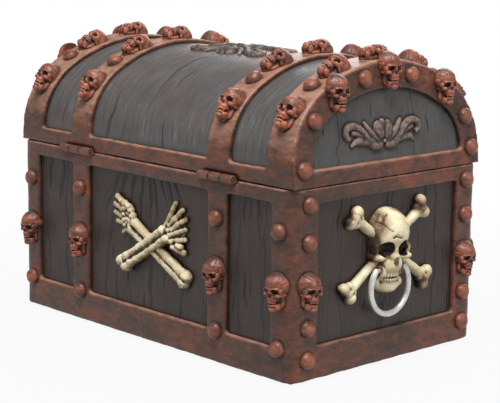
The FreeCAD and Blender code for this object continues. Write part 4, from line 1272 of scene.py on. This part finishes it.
# Bands of the lid
# A rim band, two straps over the barrel, and two end bands that turn the corner from the barrel
# to the leaning ends. They are cast and painted as the base's bands are.
lid_bands = ["lid_rim_band"]
for side, x_sign in SIDES:
    lid_bands += ["lid_end_band_%s" % side, "lid_strap_%s" % side]
cast_bands("lid", lid_bands, (rim_high.z + SAW_CLEAR,))

# Studs and small skulls of the lid
# The same studs and skulls as on the base, set round the barrel on the straps and end bands, and
# upright on the arches of the ends. On the barrel each chin points down its slope.
SKULL_WAYS = (20.3 * MM, 45.5 * MM)
STUD_WAY = 31.7 * MM
ARCH_SKULL_WAYS = (-30.0 * MM, 0.0, 27.0 * MM)
ARCH_SKULL_LIFT = 1.2 * MM
ARCH_SKULL_BACK = 0.3 * MM
ARCH_STUD_WAYS = (-45.0 * MM, -12.0 * MM, 12.0 * MM, 40.0 * MM)


def barrel_place(x_sign, on_end_band, way, chin_side):
    """A place on a strap or end band of the barrel, with the chin down one slope."""
    y, z, slope = arch_point(way)
    x = lid_end_x(z) - END_BAND_WIDTH / 2 if on_end_band else STRAP_X
    outward = Vector((0.0, math.sin(slope), math.cos(slope)))
    up = Vector((0.0, -math.cos(slope), math.sin(slope))) * chin_side
    return stand((x_sign * x, y, z), outward, up)


def arch_place(x_sign, way):
    """A place along the middle of the arch band on a leaning end."""
    y, z, slope = arch_point(way, ARCH_BAND_WIDTH / 2)
    return stand((x_sign * lid_end_x(z), y, z), *lean(x_sign))


lid_stud_places = []
arch_skull_pattern = new_piece("arch_skull", skull_pattern.data.copy())
saw_off(arch_skull_pattern, -ARCH_SKULL_BACK)
arch_skull_pattern.data.transform(Matrix.Translation((0.0, ARCH_SKULL_LIFT, 0.0)))
arch_foot = arch_half(ARCH_BAND_WIDTH / 2)
lid_ornaments = ["studs_on_lid"]
for side, x_sign in SIDES:
    for band, on_end_band in (("strap", False), ("end_band", True)):
        places = [barrel_place(x_sign, on_end_band, 0.0, 1)]
        for slope in (-1, 1):
            places += [barrel_place(x_sign, on_end_band, slope * way, slope) for way in SKULL_WAYS]
            lid_stud_places.append(barrel_place(x_sign, on_end_band, slope * STUD_WAY, slope))
        ending = "%s_%s" % (side, band)
        set_skulls(skull_pattern, "skulls_on_" + ending, "lid", "lid_skulls_" + ending, places)
        lid_ornaments.append("skulls_on_" + ending)
    lid_ornaments.append("skulls_on_%s_arch" % side)
    places = [arch_place(x_sign, way) for way in ARCH_SKULL_WAYS]
    set_skulls(arch_skull_pattern, lid_ornaments[-1], "lid", "lid_arch_skulls_%s" % side, places)
    lid_stud_places += [arch_place(x_sign, way) for way in (-arch_foot, *ARCH_STUD_WAYS, arch_foot)]
studs = set_out(stud_pattern, lid_stud_places)
weather(studs, "stud_dents", *STUD_DENTS)
fit(studs, "studs_on_lid", "lid", "rust_ornament", ornament_paint, "lid_studs")
wash_and_shade_bands(lid_bands, lid_ornaments)

# Leaf scrolls
# A carved-looking spray of leaves on each leaning end: a tulip with three points, and on each side a
# petal and an arm that curls into a volute over a lower leaf. Two more lie back to back on the crest.
SCROLL_GRAIN = 0.17 * MM
SCROLL_BACK = 0.9 * MM
SCROLL_LIFT = 0.55 * MM
SCROLL_DENTS = (1.4 * MM, 0.3 * MM)
SCROLL_WEAR = (30, 0.26 * MM)
SCROLL_SHARE = 0.5
SCROLL_Z = 81.0 * MM
SCROLL_SHIFT = 2.5 * MM
SCROLL_HOLLOW = (20, 17, 16)
SCROLL_DARK = (54, 48, 45)
SCROLL_MID = (76, 67, 61)
SCROLL_BRUSHED = (150, 123, 109)
TOP_SCROLL_WAY = 7.0 * MM
CREST_WASH = 0.12

scroll_finish, board, surface = new_finish("dark_scroll")
blotch = mottle(board, 1.6 * MM, 4.0)
scroll_level = kept(board, "wear_and_shade")
scroll_colour = coat(board, SCROLL_DARK, SCROLL_MID, blotch, 0.35, 0.7)
brushing = cut(board, blotch, 0.25, 0.5)
scroll_colour = coat(board, scroll_colour, SCROLL_BRUSHED, scroll_level, 0.55, 0.82, brushing)
scroll_colour = coat(board, scroll_colour, SCROLL_HOLLOW, scroll_level, 0.5, 0.26)
plug(board, surface, Base_Color=scroll_colour, Roughness=0.5, Normal=relief(board, blotch, 0.05 * MM))


def strand(points):
    """A rounded strand through points in millimetres, each with its half width."""
    line = bpy.data.curves.new("strand", "CURVE")
    line.dimensions = "3D"
    line.bevel_depth = MM
    line.bevel_resolution = 4
    line.use_fill_caps = True
    run = line.splines.new("NURBS")
    run.points.add(len(points) - 1)
    for knot, (x, y, width) in zip(run.points, points):
        knot.co = (x * MM, y * MM, 0.0, 1.0)
        knot.radius = width
    run.order_u = 4
    run.use_endpoint_u = True
    run.resolution_u = 8
    pick(new_piece("strand", line))
    bpy.ops.object.convert(target="MESH")
    return bpy.context.object


VOLUTE = (
    (4.4, -4.3, 1.6), (6.8, -2.7, 1.6), (9.4, -0.2, 1.45), (11.6, 1.8, 1.3), (14.0, 3.0, 1.25),
    (16.8, 3.0, 1.25), (18.6, 1.4, 1.25), (18.2, -0.6, 1.1), (16.6, -1.2, 0.9))
INNER_LEAF = ((8.6, -2.2, 0.9), (11.0, -0.4, 1.1), (13.4, 0.8, 1.0), (15.4, 0.6, 0.7))
LOW_LEAF = ((7.4, -3.2, 1.1), (10.4, -2.2, 1.5), (12.8, -2.0, 1.4), (14.6, -3.0, 0.9), (15.8, -4.0, 0.35))
PETAL = ((1.2, -3.2, 1.0), (3.8, -2.4, 1.3), (6.0, -0.4, 1.35), (7.8, 1.8, 1.2), (9.4, 4.0, 0.45))
FOOT_LOBE = ((0.9, -3.9, 1.2), (2.6, -4.5, 1.7), (4.8, -4.3, 1.8), (6.4, -3.2, 1.5))
lumps = [ball((0, 1.9, -0.3), (1.7, 2.7, 1.4)), ball((0, -3.2, 0.2), (1.2, 0.9, 1.2))]
lumps += twins((2.0, 0.5, 0.0), (2.4, 3.5, 1.8), (0, 0, -14))
for side in (-1, 1):
    for points in (VOLUTE, INNER_LEAF, LOW_LEAF, PETAL, FOOT_LOBE):
        lumps.append(strand([(side * x, y, width) for x, y, width in points]))
scroll_pattern = melt(lumps, SCROLL_GRAIN, 2)
saw_off(scroll_pattern, -SCROLL_BACK)
scroll_pattern.data.transform(Matrix.Translation((0.0, 0.0, SCROLL_LIFT)))
weather(scroll_pattern, "carving", *SCROLL_DENTS)
mark_wear(scroll_pattern, SCROLL_WEAR)
thin_out(scroll_pattern, SCROLL_SHARE)
for side, x_sign in SIDES:
    spot = (x_sign * lid_end_x(SCROLL_Z, BAND_THICKNESS), SCROLL_SHIFT, SCROLL_Z)
    piece = set_out(scroll_pattern, [stand(spot, *lean(x_sign))])
    fit(piece, "leaf_scroll_%s" % side, "lid", "dark_scroll", scroll_finish, "lid_scroll_%s" % side)
    wash_and_shade_round(bpy.data.objects["lid_end_panel_%s" % side], piece)
crest_halves = []
for y_sign in (-1, 1):
    half = set_out(scroll_pattern, [Matrix.Identity(4)])
    points = points_of(half)
    laid = np.empty_like(points)
    for number, (x, way, lift) in enumerate(points):
        y, z, slope = arch_point(y_sign * (TOP_SCROLL_WAY + way), BAND_THICKNESS)
        laid[number] = (-y_sign * x, y + lift * math.sin(slope), z + lift * math.cos(slope))
    move_points(half, laid)
    crest_halves.append(half)
crest = joined(crest_halves)
mark(crest, "wear_and_shade", marked(crest, "wear_and_shade") - CREST_WASH)
fit(crest, "leaf_scroll_crest", "lid", "dark_scroll", scroll_finish, "lid_scroll_top")
for pattern in (
    stud_pattern, skull_pattern, arch_skull_pattern, arm_over, arm_under, rising, falling, head_pattern,
    scroll_pattern,
):
    bpy.data.objects.remove(pattern)

# Floor, light and camera
# A pale floor that the camera sees as white but for the chest's soft shadow, and four soft boxes. The
# camera stands where the photograph was taken, at the chest's back left corner and a little above it.
FLOOR_GREY = (150, 150, 150)
FLOOR_RADIUS = 3.0
WHITE = (1.0, 1.0, 1.0, 1.0)
SHADOW_NEAR = 0.09
SHADOW_FAR = 0.3
SHADOW_CLEAR = 0.92
SKY_LIGHT = 0.22
LIGHT_AIM = Vector((0.0, 0.0, 0.05))
CAMERA_TURN = math.radians(226.518)
CAMERA_RISE = math.radians(10.54)
CAMERA_ROLL = math.radians(0.8)
CAMERA_DISTANCE = 594.02 * MM
CAMERA_RIGHT = 3.838 * MM
CAMERA_UP = 45.312 * MM
CAMERA_LENS = 111.494


def either_ray(board, first, second):
    """1 for a ray of one kind or the other."""
    rays = put(board, "LightPath").outputs
    larger = put(board, "Math")
    larger.operation = "MAXIMUM"
    board.links.new(rays[first], larger.inputs[0])
    board.links.new(rays[second], larger.inputs[1])
    return larger.outputs[0]


floor_finish, board, surface = new_finish("studio_floor")
plug(board, surface, Base_Color=shade(*FLOOR_GREY), Roughness=0.9, Specular_IOR_Level=0.1)
glow = put(board, "Emission", Color=WHITE, Strength=1.0)
away = put(board, "VectorMath")
away.operation = "LENGTH"
board.links.new(put(board, "TexCoord").outputs["Object"], away.inputs[0])
clear = put(
    board, "MapRange", Value=away.outputs["Value"], From_Min=SHADOW_NEAR, From_Max=SHADOW_FAR,
    To_Min=SHADOW_CLEAR, To_Max=1.0).outputs[0]
seen = either_ray(board, "Is Camera Ray", "Is Glossy Ray")
mixed = put(board, "MixShader", Fac=cut(board, seen, 0.0, 1.0, clear))
board.links.new(surface.outputs[0], mixed.inputs[1])
board.links.new(glow.outputs[0], mixed.inputs[2])
board.links.new(mixed.outputs[0], board.nodes["Material Output"].inputs["Surface"])
bpy.ops.mesh.primitive_circle_add(vertices=64, radius=FLOOR_RADIUS, fill_type="NGON")
floor = bpy.context.object
floor.name = "studio_floor"
floor.data.materials.append(floor_finish)
floor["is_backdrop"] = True

world = bpy.data.worlds.new("studio")
bpy.context.scene.world = world
world.use_nodes = True
board = world.node_tree
seen = either_ray(board, "Is Camera Ray", "Is Transmission Ray")
plug(board, board.nodes["Background"], Color=WHITE, Strength=spread(board, seen, SKY_LIGHT, 1.0))

for name, spot, size, power in (
    ("top_box", (-0.28, 0.36, 1.0), 0.7, 14.0),
    ("left_box", (0.55, 0.85, 0.5), 0.7, 0.9),
    ("right_box", (-1.0, -0.15, 0.45), 0.7, 2.7),
    ("front_box", (0.45, -0.8, 0.55), 0.8, 4.5),
):
    lamp = bpy.data.lights.new(name, "AREA")
    lamp.shape = "DISK"
    lamp.size = size
    lamp.energy = power
    stood = new_piece(name, lamp)
    stood.location = spot
    stood.rotation_euler = (Vector(spot) - LIGHT_AIM).to_track_quat("Z", "Y").to_euler()

reach = math.cos(CAMERA_RISE)
back = Vector((math.sin(CAMERA_TURN) * reach, -math.cos(CAMERA_TURN) * reach, math.sin(CAMERA_RISE)))
level = UP.cross(back).normalized()
upright = back.cross(level)
right = level * math.cos(CAMERA_ROLL) + upright * math.sin(CAMERA_ROLL)
top = upright * math.cos(CAMERA_ROLL) - level * math.sin(CAMERA_ROLL)
lens = bpy.data.cameras.new("photo_camera")
lens.sensor_width = 36.0
lens.lens = CAMERA_LENS
lens.clip_start = 0.01
camera = new_piece("photo_camera", lens)
view = Matrix((right, top, back)).transposed().to_4x4()
view.translation = right * CAMERA_RIGHT + top * CAMERA_UP + back * CAMERA_DISTANCE
camera.matrix_world = view
bpy.context.scene.camera = camera
bpy.context.scene.view_settings.view_transform = "Standard"

low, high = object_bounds()
